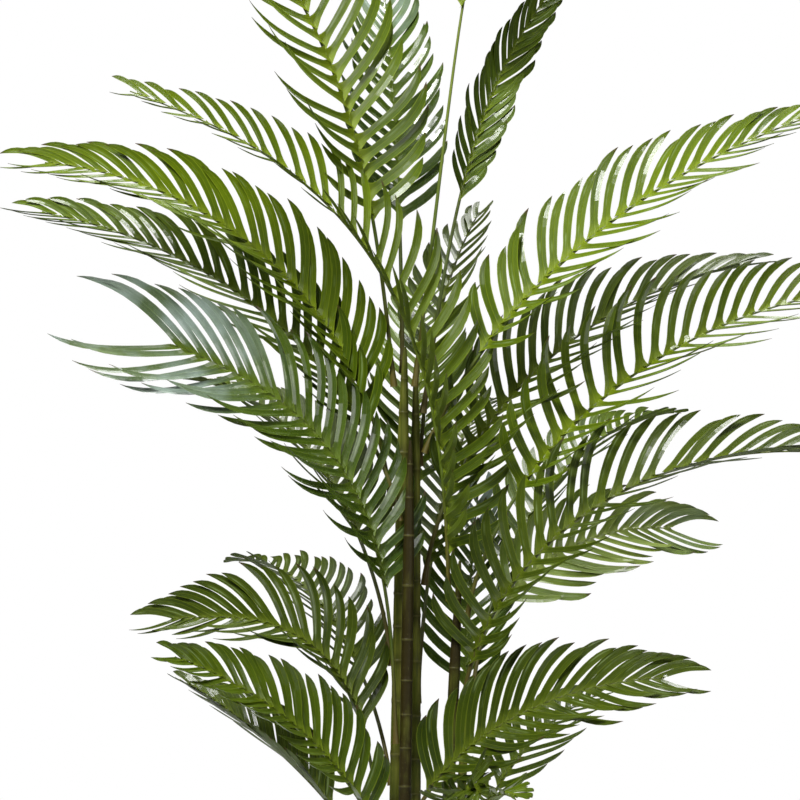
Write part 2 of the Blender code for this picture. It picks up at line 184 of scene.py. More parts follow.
def add_node(tree, kind, **settings):
    """Adds a node, sets its properties, and puts it in the next free place of the layout."""
    node = tree.nodes.new(kind)
    count = len(tree.nodes)
    node.location = (count % NODES_PER_ROW * NODE_SPACING[0], -(count // NODES_PER_ROW) * NODE_SPACING[1])
    for name, value in settings.items():
        setattr(node, name, value)
    return node


class Term:
    """One output socket, as a term of a formula."""

    def __init__(self, tree, socket):
        self.tree = tree
        self.socket = socket

    def __add__(self, other):
        return combine("ADD", self, other)

    def __radd__(self, other):
        return combine("ADD", other, self)

    def __sub__(self, other):
        return combine("SUBTRACT", self, other)

    def __rsub__(self, other):
        return combine("SUBTRACT", other, self)

    def __mul__(self, other):
        return combine("MULTIPLY", self, other)

    def __rmul__(self, other):
        return combine("MULTIPLY", other, self)

    def __truediv__(self, other):
        return combine("DIVIDE", self, other)

    def __pow__(self, other):
        return combine("POWER", self, other)


def connect(tree, socket, value):
    """Feeds a socket from a term, or sets it to a plain value."""
    if isinstance(value, Term):
        tree.links.new(value.socket, socket)
    elif value is not None:
        socket.default_value = value


def outcome(tree, kind, output, inputs, **settings):
    """Adds a node, feeds its inputs, and gives one of its outputs as a term."""
    node = add_node(tree, kind, **settings)
    for label, value in inputs.items():
        connect(tree, node.inputs[label], value)
    return Term(tree, node.outputs[output])


def is_vector(value):
    if isinstance(value, Term):
        return value.socket.type in ("VECTOR", "RGBA")
    return isinstance(value, (tuple, Vector))


def combine(operation, *terms):
    """One Math node, or one Vector Math node where any of the terms is a vector."""
    tree = next(term.tree for term in terms if isinstance(term, Term))
    if any(is_vector(term) for term in terms):
        scaled = operation == "MULTIPLY" and not all(is_vector(term) for term in terms)
        node = add_node(tree, "ShaderNodeVectorMath", operation="SCALE" if scaled else operation)
        if scaled:
            terms = sorted(terms, key=is_vector, reverse=True)
            connect(tree, node.inputs[0], terms[0])
            connect(tree, node.inputs["Scale"], terms[1])
            return Term(tree, node.outputs["Vector"])
        for socket, term in zip(node.inputs, terms):
            connect(tree, socket, term)
        return Term(tree, node.outputs["Value" if operation in ("DOT_PRODUCT", "LENGTH") else "Vector"])
    node = add_node(tree, "ShaderNodeMath", operation=operation)
    for socket, term in zip(node.inputs, terms):
        connect(tree, socket, term)
    return Term(tree, node.outputs[0])


def sine(term):
    return combine("SINE", term)


def cosine(term):
    return combine("COSINE", term)


def least(a, b):
    return combine("MINIMUM", a, b)


def most(a, b):
    return combine("MAXIMUM", a, b)


def size_of(term):
    return combine("ABSOLUTE", term)


def unit(vector):
    return combine("NORMALIZE", vector)


def cross(a, b):
    return combine("CROSS_PRODUCT", a, b)


def dot(a, b):
    return combine("DOT_PRODUCT", a, b)


def vector_of(tree, x, y, z):
    return outcome(tree, "ShaderNodeCombineXYZ", 0, {0: x, 1: y, 2: z})


def turned_about(vector, axis, angle):
    """A vector turned about an axis by an angle in radians."""
    parts = {"Vector": vector, "Axis": axis, "Angle": angle}
    return outcome(vector.tree, "ShaderNodeVectorRotate", 0, parts, rotation_type="AXIS_ANGLE")


# %% [markdown]
# ## One frond, as a rule
# A frond is grown by one Geometry Nodes tree. Its spine is a chain of short equal steps whose slope
# changes from the stalk to the tip; adding the steps up gives the arch. A leaflet is a four-sided closed
# tube, flattened into a strap with a folded middle, and the same tube is put on the spine once for each
# leaflet. Its place along the blade then sets its length, its angle to the spine and how far it bends
# towards the tip. Modelling each leaflet by hand would take days, and a flat leaf card would show no fold
# and no edge.

# %% Names of what the tree stores on the mesh for the finishes
ALONG = "along"  # from a leaflet's root to its tip, 0 to 1
ACROSS = "across"  # from one edge of a leaflet to the other, -1 to 1
UPPER = "upper"  # over 0 on a leaflet's upper face, under 0 below
CHANCE = "chance"  # one random number for each leaflet
REACH = "reach"  # place along the blade, 0 at its foot
SIDE = "side"  # 1 for the row on the spine's left, -1 for the other

# %% Sizes and inputs of a frond
SPINE_STEPS = 48
SPINE_SIDES = 8
SPINE_TIP_SHARE = 0.30  # a spine's width at its tip over its width at its foot
SPINE_FLATNESS = 0.86
SPINE_BASE_SWELL = 0.75  # how much thicker it is at its very foot
SPINE_BASE_STEEPNESS = 14.0  # one over the share of its length that is swollen
PAIR_SHIFT = 0.16  # how far a leaflet strays along the spine, in spaces between pairs
PAIR_STAGGER = 0.12  # how far one row stands ahead of the other
LAST_LEAFLET = 0.992  # the last one's place along the blade
LEAFLET_STEPS = 12
LEAFLET_CROWDING = 0.08  # how much closer together its sections are at both ends
LEAFLET_SHOULDER = 0.72  # where it starts to close to its point
LEAFLET_THICKNESS = 0.0011
WEB = 0.16  # share of a leaflet's length over which it widens into the web along the spine
WEB_FLARE = 1.25  # how much wider it is there, in half widths
LEAFLET_TIP = 0.0005  # width left at a leaflet's point
LEAFLET_FOLD = 0.36  # rise of a leaflet's edges over half its width

FROND_INPUTS = {
    # name: (socket kind, value when the tree is first tried)
    "Foot": ("NodeSocketVector", (0.0, 0.0, 0.0)),
    "Heading": ("NodeSocketFloat", 0.0),
    "Rise": ("NodeSocketFloat", 1.4),
    "Fall": ("NodeSocketFloat", 0.2),
    "Bend": ("NodeSocketFloat", 1.0),
    "Settle": ("NodeSocketFloat", 1.0),
    "Stalk": ("NodeSocketFloat", 0.2),
    "Blade": ("NodeSocketFloat", 0.6),
    "Roll": ("NodeSocketFloat", 0.0),
    "Turn": ("NodeSocketFloat", 0.0),
    "Lift": ("NodeSocketFloat", 0.5),
    "Spread": ("NodeSocketFloat", 1.0),
    "Least Angle": ("NodeSocketFloat", 0.3),
    "Leaflet Length": ("NodeSocketFloat", 0.13),
    "Tip Length": ("NodeSocketFloat", 0.4),
    "Leaflet Width": ("NodeSocketFloat", 0.014),
    "Curve": ("NodeSocketFloat", 0.5),
    "Droop": ("NodeSocketFloat", 0.1),
    "Hook": ("NodeSocketFloat", 0.1),
    "Curl": ("NodeSocketFloat", 0.0),
    "Twist": ("NodeSocketFloat", 0.2),
    "Unevenness": ("NodeSocketFloat", 0.1),
    "Pairs": ("NodeSocketInt", 20),
    "Stalk Width": ("NodeSocketFloat", 0.007),
    "Seed": ("NodeSocketInt", 1),
    "Spine Finish": ("NodeSocketMaterial", None),
    "Leaf Finish": ("NodeSocketMaterial", None),
}


# %% Helpers for shape trees
def new_shape_tree(name, inputs):
    """An empty Geometry Nodes tree with named inputs, and its inputs as terms."""
    tree = bpy.data.node_groups.new(name, "GeometryNodeTree")
    tree.interface.new_socket("Geometry", in_out="OUTPUT", socket_type="NodeSocketGeometry")
    source = add_node(tree, "NodeGroupInput")
    terms = {}
    for label, (kind, value) in inputs.items():
        socket = tree.interface.new_socket(label, in_out="INPUT", socket_type=kind)
        if value is not None:
            socket.default_value = value
        terms[label] = Term(tree, source.outputs[label])
    return tree, terms


def item_number(tree):
    return outcome(tree, "GeometryNodeInputIndex", 0, {})


def chance(tree, low, high, seed, number):
    """A random number for each item: the same number again for the same item and seed."""
    parts = {2: low, 3: high, "ID": number, "Seed": seed}
    return outcome(tree, "FunctionNodeRandomValue", 1, parts, data_type="FLOAT")


def store(tree, geometry, name, value):
    """Stores a number on every point under a name, for the tree or for a material to read."""
    parts = {"Geometry": geometry, "Name": name, "Value": value}
    return outcome(tree, "GeometryNodeStoreNamedAttribute", "Geometry", parts,
                   data_type="FLOAT", domain="POINT")


def stored(tree, name):
    return outcome(tree, "GeometryNodeInputNamedAttribute", "Attribute", {"Name": name}, data_type="FLOAT")


def circle(tree, sides):
    """A circle of radius 1, as a section to sweep."""
    parts = {"Resolution": sides, "Radius": 1.0}
    return outcome(tree, "GeometryNodeCurvePrimitiveCircle", "Curve", parts, mode="RADIUS")


def finished(tree, geometry, finish):
    return outcome(tree, "GeometryNodeSetMaterial", "Geometry", {"Geometry": geometry, "Material": finish})


def swept_tube(tree, curve, section, radius, finish):
    """A closed tube: the section swept along the curve and scaled at each point, with its finish."""
    parts = {"Curve": curve, "Profile Curve": section, "Scale": radius, "Fill Caps": True}
    return finished(tree, outcome(tree, "GeometryNodeCurveToMesh", "Mesh", parts), finish)


def real_copies(tree, points, instance, **more):
    """The same shape put on every point, made real."""
    parts = {"Points": points, "Instance": instance, **more}
    copies = outcome(tree, "GeometryNodeInstanceOnPoints", "Instances", parts)
    return outcome(tree, "GeometryNodeRealizeInstances", "Geometry", {"Geometry": copies})


def close_tree(tree, geometry):
    """Gives a shape tree its result."""
    connect(tree, add_node(tree, "NodeGroupOutput").inputs[0], geometry)
    return tree


# %% [markdown]
# ## The spine
# A real spine is stiff and steep near its cane and bends more and more under its leaflets. Here its slope
# is a rule of the place along it, and Accumulate Field adds up the steps. Another function sweeps a
# section along that line.


# %% Spine
def spine_directions(given, share):
    """The directions along the spine, to its left and off its upper face, at a share of its length."""
    tree = share.tree
    turned_by = 1.0 - (1.0 - share ** given["Bend"]) ** given["Settle"]
    slope = given["Rise"] + (given["Fall"] - given["Rise"]) * turned_by
    heading = given["Heading"]
    outward = vector_of(tree, cosine(heading), sine(heading), 0.0)
    level = vector_of(tree, sine(heading) * -1.0, cosine(heading), 0.0)
    along = outward * cosine(slope) + vector_of(tree, 0.0, 0.0, sine(slope))
    left = turned_about(level, along, given["Roll"] + given["Turn"] * share)
    return along, left, cross(along, left)


def grow_spine(tree, given, index, length):
    """The chain of steps, as a curve. Each step's direction is added to the sum of those before it."""
    line = outcome(tree, "GeometryNodeMeshLine", "Mesh", {"Count": SPINE_STEPS + 1},
                   mode="OFFSET", count_mode="TOTAL")
    along, _, _ = spine_directions(given, index / SPINE_STEPS)
    step = {"Value": along * (length / SPINE_STEPS)}
    total = outcome(tree, "GeometryNodeAccumulateField", "Trailing", step, data_type="FLOAT_VECTOR")
    place = {"Geometry": line, "Position": given["Foot"] + total}
    chain = outcome(tree, "GeometryNodeSetPosition", "Geometry", place)
    return outcome(tree, "GeometryNodeMeshToCurve", "Curve", {"Mesh": chain})


def skin_spine(tree, given, curve, index, start):
    """A tube round the spine: thick at its foot, slim at its tip, a little flatter than round."""
    share = index / SPINE_STEPS
    _, _, up = spine_directions(given, share)
    aim = {"Curve": curve, "Normal": up}
    aimed = outcome(tree, "GeometryNodeSetCurveNormal", "Curve", aim, mode="FREE")
    base = most(1.0 - share * SPINE_BASE_STEEPNESS, 0.0)
    thickness = 1.0 + share * (SPINE_TIP_SHARE - 1.0) + base * base * SPINE_BASE_SWELL
    radius = thickness * given["Stalk Width"] * 0.5
    named = store(tree, aimed, ALONG, share)
    named = store(tree, named, REACH, (share - start) / (1.0 - start))
    section = outcome(tree, "GeometryNodeTransform", "Geometry",
                      {"Geometry": circle(tree, SPINE_SIDES), "Scale": (SPINE_FLATNESS, 1.0, 1.0)})
    return swept_tube(tree, named, section, radius, given["Spine Finish"])


# %% [markdown]
# ## The leaflets
# Every leaflet starts as the same plain tube, which knows its number, its side and its place along the
# blade. One set of formulas then moves each vertex: out from the spine along a gently turning line, down
# by its own weight, and sideways by half its width, with its edges raised to make the fold.


# %% Leaflets
def leaflet_blanks(tree, given):
    """A four-sided tube for each leaflet, all at the origin, knowing their number, side and place along."""
    position = outcome(tree, "GeometryNodeInputPosition", 0, {})
    split = add_node(tree, "ShaderNodeSeparateXYZ")
    connect(tree, split.inputs[0], position)
    size = {"Vertices": 4, "Side Segments": LEAFLET_STEPS, "Radius": 1.0, "Depth": 1.0}
    tube = outcome(tree, "GeometryNodeMeshCylinder", "Mesh", size, fill_type="NGON")
    blank = store(tree, tube, ACROSS, Term(tree, split.outputs["X"]))
    blank = store(tree, blank, UPPER, Term(tree, split.outputs["Y"]))
    even = Term(tree, split.outputs["Z"]) + 0.5
    blank = store(tree, blank, ALONG, even - sine(even * math.tau) * LEAFLET_CROWDING)
    points = outcome(tree, "GeometryNodePoints", 0, {"Count": given["Pairs"] * 2.0})
    index = item_number(tree)
    pair = combine("FLOOR", index / 2.0)
    side = 1.0 - (index - pair * 2.0) * 2.0
    shift = chance(tree, -PAIR_SHIFT, PAIR_SHIFT, given["Seed"] + 7.0, index)
    marked = store(tree, points, CHANCE, chance(tree, 0.0, 1.0, given["Seed"], index))
    marked = store(tree, marked, SIDE, side)
    reach = (pair + 0.4 + shift + side * PAIR_STAGGER) / given["Pairs"]
    marked = store(tree, marked, REACH, least(reach, LAST_LEAFLET))
    return real_copies(tree, marked, blank)


def leaflet_length_share(reach, tip):
    """A leaflet's length over the longest one's: shorter at the blade's foot, longest near a third up."""
    opening = sine(least(reach / 0.28, 1.0) * (math.pi / 2)) * 0.30 + 0.70
    closing = most((reach - 0.35) / 0.65, 0.0) ** 1.2
    return opening * (1.0 - closing * (1.0 - tip))


def half_width_share(along):
    """A leaflet's outline: a strap that flares where it joins the spine and closes quickly to a point."""
    flare = most(1.0 - along / WEB, 0.0) ** 2.0 * WEB_FLARE
    body = sine(least(along / 0.55, 1.0) * (math.pi / 2)) * 0.24 + 0.76
    closing = most((along - LEAFLET_SHOULDER) / (1.0 - LEAFLET_SHOULDER), 0.0) ** 2.4
    return (body + flare) * (1.0 - closing)


def shape_leaflets(tree, given, curve, blanks, start):
    """Moves each vertex of each blank to its place on its own leaflet."""
    along = stored(tree, ALONG)
    across = stored(tree, ACROSS)
    upper = stored(tree, UPPER)
    reach = stored(tree, REACH)
    side = stored(tree, SIDE)
    luck = stored(tree, CHANCE) - 0.5
    other_luck = combine("FRACT", stored(tree, CHANCE) * 7.31) - 0.5
    uneven = given["Unevenness"]

    share = start + (1.0 - start) * reach
    forward, left, up = spine_directions(given, share)
    on_spine = outcome(tree, "GeometryNodeSampleCurve", "Position", {"Curves": curve, "Factor": share},
                       mode="FACTOR", data_type="FLOAT")
    root = on_spine + left * (side * given["Stalk Width"] * 0.12)

    swept = given["Spread"] * ((1.0 - reach) ** 0.6 * 0.55 + 0.45) + (0.5 - reach) * 0.14
    angle = most(swept + luck * uneven, given["Least Angle"])
    lift = given["Lift"] * (1.0 - reach * 0.55) + other_luck * uneven * 1.6
    out = left * (side * cosine(lift)) + up * sine(lift)
    first = forward * cosine(angle) + out * sine(angle)
    aside = unit(forward - first * dot(forward, first))
    face = cross(aside, first) * side
    length = given["Leaflet Length"] * leaflet_length_share(reach, given["Tip Length"])
    length = length * (1.0 + luck * uneven * 1.1)
    bend = most(given["Curve"] * (1.0 + other_luck * uneven * 3.0), 0.02)
    turned = along * bend
    middle = (first * sine(turned) + aside * (1.0 - cosine(turned))) * (length / bend)
    heading = first * cosine(turned) + aside * sine(turned)
    sag = given["Droop"] * (1.0 + luck * uneven * 4.0)
    curl = given["Curl"] * (1.0 + other_luck * 2.0)
    hook = given["Hook"] * (1.0 + luck * uneven * 5.0)
    hang = vector_of(tree, 0.0, 0.0, length * sag * along * along * -1.0)
    roll_up = face * (length * curl * along ** 3.0) + aside * (length * hook * along ** 5.0)
    falling = vector_of(tree, 0.0, 0.0, sag * along * -2.0)
    rising = face * (curl * along * along * 3.0) + aside * (hook * along ** 4.0 * 5.0)
    heading = unit(heading + falling + rising)
    upright = unit(face - heading * dot(face, heading))
    twist = given["Twist"] * side * (0.25 + along) + luck * uneven * 3.0 * along
    upright = turned_about(upright, heading, twist)
    rooted = most(1.0 - along / WEB, 0.0)
    wide = unit(cross(upright, heading) * (1.0 - rooted) - forward * (side * rooted))

    width = given["Leaflet Width"] * (1.0 - reach * 0.42) * (1.0 + other_luck * uneven * 1.2)
    half = most(half_width_share(along) * width * 0.5, LEAFLET_TIP * 0.5)
    thin = upper * LEAFLET_THICKNESS * 0.5 * (1.0 - along * 0.5)
    fold = size_of(across) * half * LEAFLET_FOLD * (1.0 - along * 0.45)
    place = root + middle + hang + roll_up + wide * (across * half) + upright * (thin + fold)
    moved = outcome(tree, "GeometryNodeSetPosition", "Geometry", {"Geometry": blanks, "Position": place})
    at_edge = combine("GREATER_THAN", size_of(across), 0.9)
    edges = {"Geometry": moved, "Selection": at_edge, "Shade Smooth": False}
    creased = outcome(tree, "GeometryNodeSetShadeSmooth", "Geometry", edges, domain="EDGE")
    return finished(tree, creased, given["Leaf Finish"])


# %% Whole frond
def build_frond_tree():
    """The whole tree: spine, leaflets, joined."""
    tree, given = new_shape_tree("palm frond", FROND_INPUTS)
    index = item_number(tree)
    length = given["Stalk"] + given["Blade"]
    start = given["Stalk"] / length
    curve = grow_spine(tree, given, index, length)
    tube = skin_spine(tree, given, curve, index, start)
    leaflets = shape_leaflets(tree, given, curve, leaflet_blanks(tree, given), start)
    join = add_node(tree, "GeometryNodeJoinGeometry")
    connect(tree, join.inputs[0], leaflets)
    connect(tree, join.inputs[0], tube)
    return close_tree(tree, Term(tree, join.outputs[0]))


frond_tree = build_frond_tree()
print("palm frond tree:", len(frond_tree.nodes), "nodes")

# %% [markdown]
# ## Finishes
# A leaflet has a pale keel along its middle, fine ribs beside it, a yellower edge, painted highlight lines
# along one half, a paler root that is partly its own colour and partly painted highlight, and a duller
# underside. The colour drifts from leaflet to leaflet and in slow clouds over the whole palm, it is darker
# towards the blade's foot as painted shade, and the very tips are dry. One shader group makes all of this
# from what the shape tree stored, and five materials use it with greens made lighter or darker as painted
# light and shade. A bluish frond has a painted pale sheen of reflection as well.


# %% Shader group for leaves
def new_finish_group(name, inputs, outputs):
    """An empty shader group with named inputs and outputs."""
    tree = bpy.data.node_groups.new(name, "ShaderNodeTree")
    source = add_node(tree, "NodeGroupInput")
    target = add_node(tree, "NodeGroupOutput")
    terms = {}
    for label, value in inputs.items():
        kind = "NodeSocketColor" if isinstance(value, tuple) else "NodeSocketFloat"
        socket = tree.interface.new_socket(label, in_out="INPUT", socket_type=kind)
        socket.default_value = (*value, 1.0) if isinstance(value, tuple) else value
        terms[label] = Term(tree, source.outputs[label])
    for label, kind in outputs.items():
        tree.interface.new_socket(label, in_out="OUTPUT", socket_type=kind)
    return tree, terms, target


def blend(tree, amount, first, second):
    """A mix of two colours."""
    first, second = [(*value, 1.0) if isinstance(value, tuple) else value for value in (first, second)]
    return outcome(tree, "ShaderNodeMix", 2, {"Factor": amount, 6: first, 7: second}, data_type="RGBA")


def cloud(tree, scale, detail=2.0, stretch=(1.0, 1.0, 1.0)):
    """Noise on Object coordinates, about 0 to 1."""
    where = outcome(tree, "ShaderNodeTexCoord", "Object", {})
    fitted = outcome(tree, "ShaderNodeMapping", 0, {"Vector": where, "Scale": stretch})
    return outcome(tree, "ShaderNodeTexNoise", "Fac", {"Vector": fitted, "Scale": scale, "Detail": detail})


def ramp(value, low, high):
    """0 below low, 1 above high, straight between."""
    return outcome(value.tree, "ShaderNodeMapRange", 0, {"Value": value, "From Min": low, "From Max": high})


def mesh_value(tree, name):
    return outcome(tree, "ShaderNodeAttribute", "Fac", {}, attribute_name=name)


PAINTED_SHEEN_COLOUR = (0.40, 0.50, 0.46)  # painted sheen: a pale reflection painted on a bluish frond's leaflets
# painted highlight: colour and strength of the pale gloss lines painted along each leaflet
PAINTED_HIGHLIGHT_GREEN = (0.34, 0.46, 0.16)
PAINTED_HIGHLIGHT_SHARE = 0.4
DRY_BROWN = (0.12, 0.07, 0.03)  # a leaflet's very tip
LEAF_DRIFT = 0.5  # how much the green differs from leaflet to leaflet


# %% Leaf pattern
def build_leaf_group():
    """Colour, roughness and relief of a leaflet."""
    tree, given, target = new_finish_group(
        "leaf pattern",
        {"Fresh": (0.2, 0.4, 0.05), "Deep": (0.05, 0.15, 0.02), "Edge": (0.4, 0.5, 0.1),
         "Under": (0.2, 0.3, 0.1), "Gloss": 0.4, "Painted Sheen": 0.0},
        {"Colour": "NodeSocketColor", "Roughness": "NodeSocketFloat", "Height": "NodeSocketFloat"})
    along = mesh_value(tree, ALONG)
    across = mesh_value(tree, ACROSS)
    upper = mesh_value(tree, UPPER)
    luck = mesh_value(tree, CHANCE)
    reach = mesh_value(tree, REACH)
    edge = size_of(across)
    keel = 1.0 - ramp(edge, 0.03, 0.13)
    ribs = sine(across * 26.0) * 0.5 + 0.5
    clouds = ramp(cloud(tree, 9.0), 0.32, 0.68)
    mottle = cloud(tree, 70.0, 3.0)
    mix = least(most(luck * LEAF_DRIFT + clouds * 0.45 + mottle * 0.22 - 0.22, 0.0), 1.0)
    colour = blend(tree, mix, given["Fresh"], given["Deep"])
    # painted shade: leaflets darker towards the blade's foot, where the inside of the crown is shaded
    colour = blend(tree, (1.0 - ramp(reach, 0.0, 0.55)) * 0.5, colour, given["Deep"])
    colour = blend(tree, ribs * 0.22, colour, given["Deep"])
    # painted highlight: pale lines along one half of each leaflet, painted where a lamp's gloss would run
    band = ramp(across, 0.10, 0.25) * (1.0 - ramp(across, 0.42, 0.60))
    painted_highlight = band * ramp(cloud(tree, 17.0, 2.0), 0.50, 0.64) * ramp(along, 0.06, 0.2) * PAINTED_HIGHLIGHT_SHARE
    colour = blend(tree, painted_highlight, colour, PAINTED_HIGHLIGHT_GREEN)
    colour = blend(tree, ramp(edge, 0.78, 0.98) * 0.75, colour, given["Edge"])
    colour = blend(tree, keel * 0.35, colour, given["Edge"])
    # paler towards each leaflet's root: partly its own yellower base, partly a painted highlight where the
    # web by the spine catches light
    colour = blend(tree, (1.0 - ramp(along, 0.0, 0.14)) * 0.55, colour, given["Edge"])
    under = 1.0 - ramp(upper, -0.04, 0.04)
    colour = blend(tree, under * 0.75, colour, given["Under"])
    # painted reflection: a pale sheen painted in patches over the outer leaflets of a glossy frond
    sheen_clouds = ramp(cloud(tree, 14.0, 2.0), 0.40, 0.62)
    painted_sheen = given["Painted Sheen"] * ramp(reach, 0.58, 0.74) * (1.0 - under * 0.6) * (ribs * 0.35 + sheen_clouds * 0.75)
    colour = blend(tree, least(painted_sheen * ramp(along, 0.05, 0.3), 1.0), colour, PAINTED_SHEEN_COLOUR)
    dry = ramp(along + luck * 0.06, 0.985, 1.04)
    colour = blend(tree, dry, colour, DRY_BROWN)
    connect(tree, target.inputs["Colour"], colour)
    rough = given["Gloss"] + mottle * 0.14 + under * 0.16 + dry * 0.3
    connect(tree, target.inputs["Roughness"], rough)
    connect(tree, target.inputs["Height"], ribs * 0.5 + keel * 0.9 + mottle * 0.35)
    return tree


leaf_group = build_leaf_group()
print("leaf pattern group:", len(leaf_group.nodes), "nodes")

# %% Leaf materials


class Greens(NamedTuple):
    """The colours of one set of leaves: a lighter or darker copy of the same greens, as painted light and
    shade.
    """

    fresh: tuple
    deep: tuple
    edge: tuple
    under: tuple
    spine: tuple
    gloss: float  # the least roughness
    coat: float  # weight of the clear coat
    painted_sheen_amount: float = 0.0  # amount of painted pale sheen, a painted reflection


# bright, mid and dark are one green at three brightnesses: painted light on lit fronds and painted shade on
# shaded ones; pale is a lighter lit copy, and blue is a darker, bluer green with painted sheen
LEAF_GREENS_LIT_AND_SHADED = {
    "leaf_bright": Greens((0.150, 0.220, 0.003), (0.042, 0.078, 0.001), (0.250, 0.325, 0.012),
                          (0.110, 0.160, 0.010), (0.135, 0.180, 0.008), 0.32, 0.35),
    "leaf_mid": Greens((0.108, 0.168, 0.003), (0.028, 0.056, 0.001), (0.195, 0.260, 0.012),
                       (0.085, 0.130, 0.010), (0.115, 0.155, 0.008), 0.32, 0.30),
    "leaf_dark": Greens((0.082, 0.122, 0.003), (0.019, 0.036, 0.001), (0.160, 0.210, 0.012),
                        (0.064, 0.098, 0.010), (0.100, 0.120, 0.008), 0.32, 0.30),
    "leaf_blue": Greens((0.085, 0.142, 0.006), (0.018, 0.042, 0.003), (0.150, 0.215, 0.020),
                        (0.068, 0.112, 0.014), (0.140, 0.185, 0.010), 0.20, 0.90, 0.75),
    "leaf_pale": Greens((0.250, 0.330, 0.050), (0.095, 0.160, 0.012), (0.350, 0.420, 0.110),
                        (0.240, 0.300, 0.080), (0.200, 0.245, 0.030), 0.34, 0.30, 0.25),
}


def new_material(name):
    """A material and its Principled shader."""
    material = bpy.data.materials.new(name)
    material.use_nodes = True
    return material, material.node_tree.nodes["Principled BSDF"]


def add_relief(tree, shader, height, distance, strength=1.0):
    """Feeds a height to the shader's normal."""
    bump = add_node(tree, "ShaderNodeBump")
    bump.inputs["Distance"].default_value = distance
    bump.inputs["Strength"].default_value = strength
    connect(tree, bump.inputs["Height"], height)
    tree.links.new(bump.outputs["Normal"], shader.inputs["Normal"])


def leaf_material(name, greens):
    """The leaf pattern with one set's greens, lighter or darker as painted light and shade."""
    material, shader = new_material(name)
    tree = material.node_tree
    group = add_node(tree, "ShaderNodeGroup", node_tree=leaf_group)
    for label, colour in (("Fresh", greens.fresh), ("Deep", greens.deep), ("Edge", greens.edge),
                          ("Under", greens.under)):
        group.inputs[label].default_value = (*colour, 1.0)
    group.inputs["Gloss"].default_value = greens.gloss
    group.inputs["Painted Sheen"].default_value = greens.painted_sheen_amount
    tree.links.new(group.outputs["Colour"], shader.inputs["Base Color"])
    tree.links.new(group.outputs["Roughness"], shader.inputs["Roughness"])
    shader.inputs["Specular IOR Level"].default_value = 0.20
    shader.inputs["Coat Weight"].default_value = greens.coat
    shader.inputs["Coat Roughness"].default_value = 0.13
    add_relief(tree, shader, Term(tree, group.outputs["Height"]), 0.0008)
    return material


STALK_BROWN = (0.135, 0.085, 0.014)  # an old stalk's foot


def spine_material(name, greens):
    """Smoother and yellower than the leaflets, browner towards its foot, with fine lengthwise lines."""
    material, shader = new_material(name)
    tree = material.node_tree
    share = mesh_value(tree, ALONG)
    streaks = cloud(tree, 160.0, 2.0, (1.0, 1.0, 0.12))
    pale = blend(tree, ramp(streaks, 0.35, 0.7) * 0.45, greens.spine, greens.deep)
    colour = blend(tree, 1.0 - ramp(share, 0.0, 0.45), pale, greens.deep)
    colour = blend(tree, (1.0 - ramp(share + streaks * 0.1, 0.05, 0.26)) * 0.7, colour, STALK_BROWN)
    connect(tree, shader.inputs["Base Color"], colour)
    connect(tree, shader.inputs["Roughness"], streaks * 0.2 + 0.34)
    add_relief(tree, shader, streaks, 0.0006)
    return material


leaf_materials = {}
spine_materials = {}
for finish_name, finish_greens in LEAF_GREENS_LIT_AND_SHADED.items():
    tone = finish_name.removeprefix("leaf_")
    leaf_materials[finish_name] = leaf_material(tone + "_leaflets", finish_greens)
    spine_materials[finish_name] = spine_material(tone + "_spine", finish_greens)
print("leaf finishes:", ", ".join(leaf_materials))

# %% [markdown]
# ## The canes' lines
# Each cane leans a little. A frond leaves its cane at a leaf scar, so every frond's foot is worked out
# from the line of its cane.

# %% Canes


class Cane(NamedTuple):
    """One cane."""

    foot: tuple  # x and y where it leaves the soil
    lean: tuple  # how far its top stands from over its foot
    height: float  # above the soil
    radius: float


CANES = {
    "a": Cane((-0.048, 0.000), (0.018, 0.000), 0.90, 0.0105),
    "b": Cane((-0.034, -0.042), (0.012, 0.010), 0.76, 0.0095),
    "c": Cane((-0.014, 0.035), (0.000, -0.010), 0.88, 0.0085),
    "d": Cane((0.024, -0.012), (0.028, 0.000), 0.58, 0.0095),
    "e": Cane((0.045, 0.045), (0.020, 0.020), 0.40, 0.0080),
}
SOIL_TOP = 0.260
CANE_RING_SWELL = 0.0012
STALK_WIDTH = 0.0070
GAP = 0.0003


def cane_point(cane, height):
    """A point on the cane's middle line, at a height above the soil."""
    lean = Vector((cane.lean[0], cane.lean[1], 0.0)) * (height / cane.height)
    return Vector((cane.foot[0], cane.foot[1], SOIL_TOP + height)) + lean


# %% [markdown]
# ## The fronds' table
# One row says how one frond grows. The columns are: its cane, the height of its leaf scar, its heading in
# degrees seen from above, the length of its bare stalk and of its blade, the slope at its foot and at its
# tip, how soon it turns from one to the other, the longest leaflet, the turn of the whole blade about its
# spine, the lift and the spread of its leaflets, the number of pairs, and its green, lighter or darker as
# painted light and shade by how it is lit. Some rows go on: how soon the turning ends, the last leaflets'
# length over the longest one's, and how far the blade rolls on between its foot and its tip.

# %% Fronds


class Frond(NamedTuple):
    """One frond."""

    cane: str
    node: float  # height of its leaf scar above the soil, in metres like the other lengths
    heading: float  # degrees, like the other angles
    stalk: float
    blade: float
    rise: float  # slope at its foot
    fall: float  # slope at its tip
    bend: float  # over 1 it bends late, under 1 early
    leaflet: float  # the longest leaflet's length
    roll: float  # turn of the blade about its spine
    lift: float  # how far its leaflets stand off the blade's plane
    spread: float  # the first leaflets' angle to the spine
    pairs: int
    tone: str  # its green: a lighter copy as painted light, a darker copy as painted shade
    settle: float = 1.0  # over 1 it stops bending before its tip
    tip: float = 0.38  # the last leaflets' length over the longest one's
    turn: float = 0.0  # how far the blade rolls on between its foot and its tip


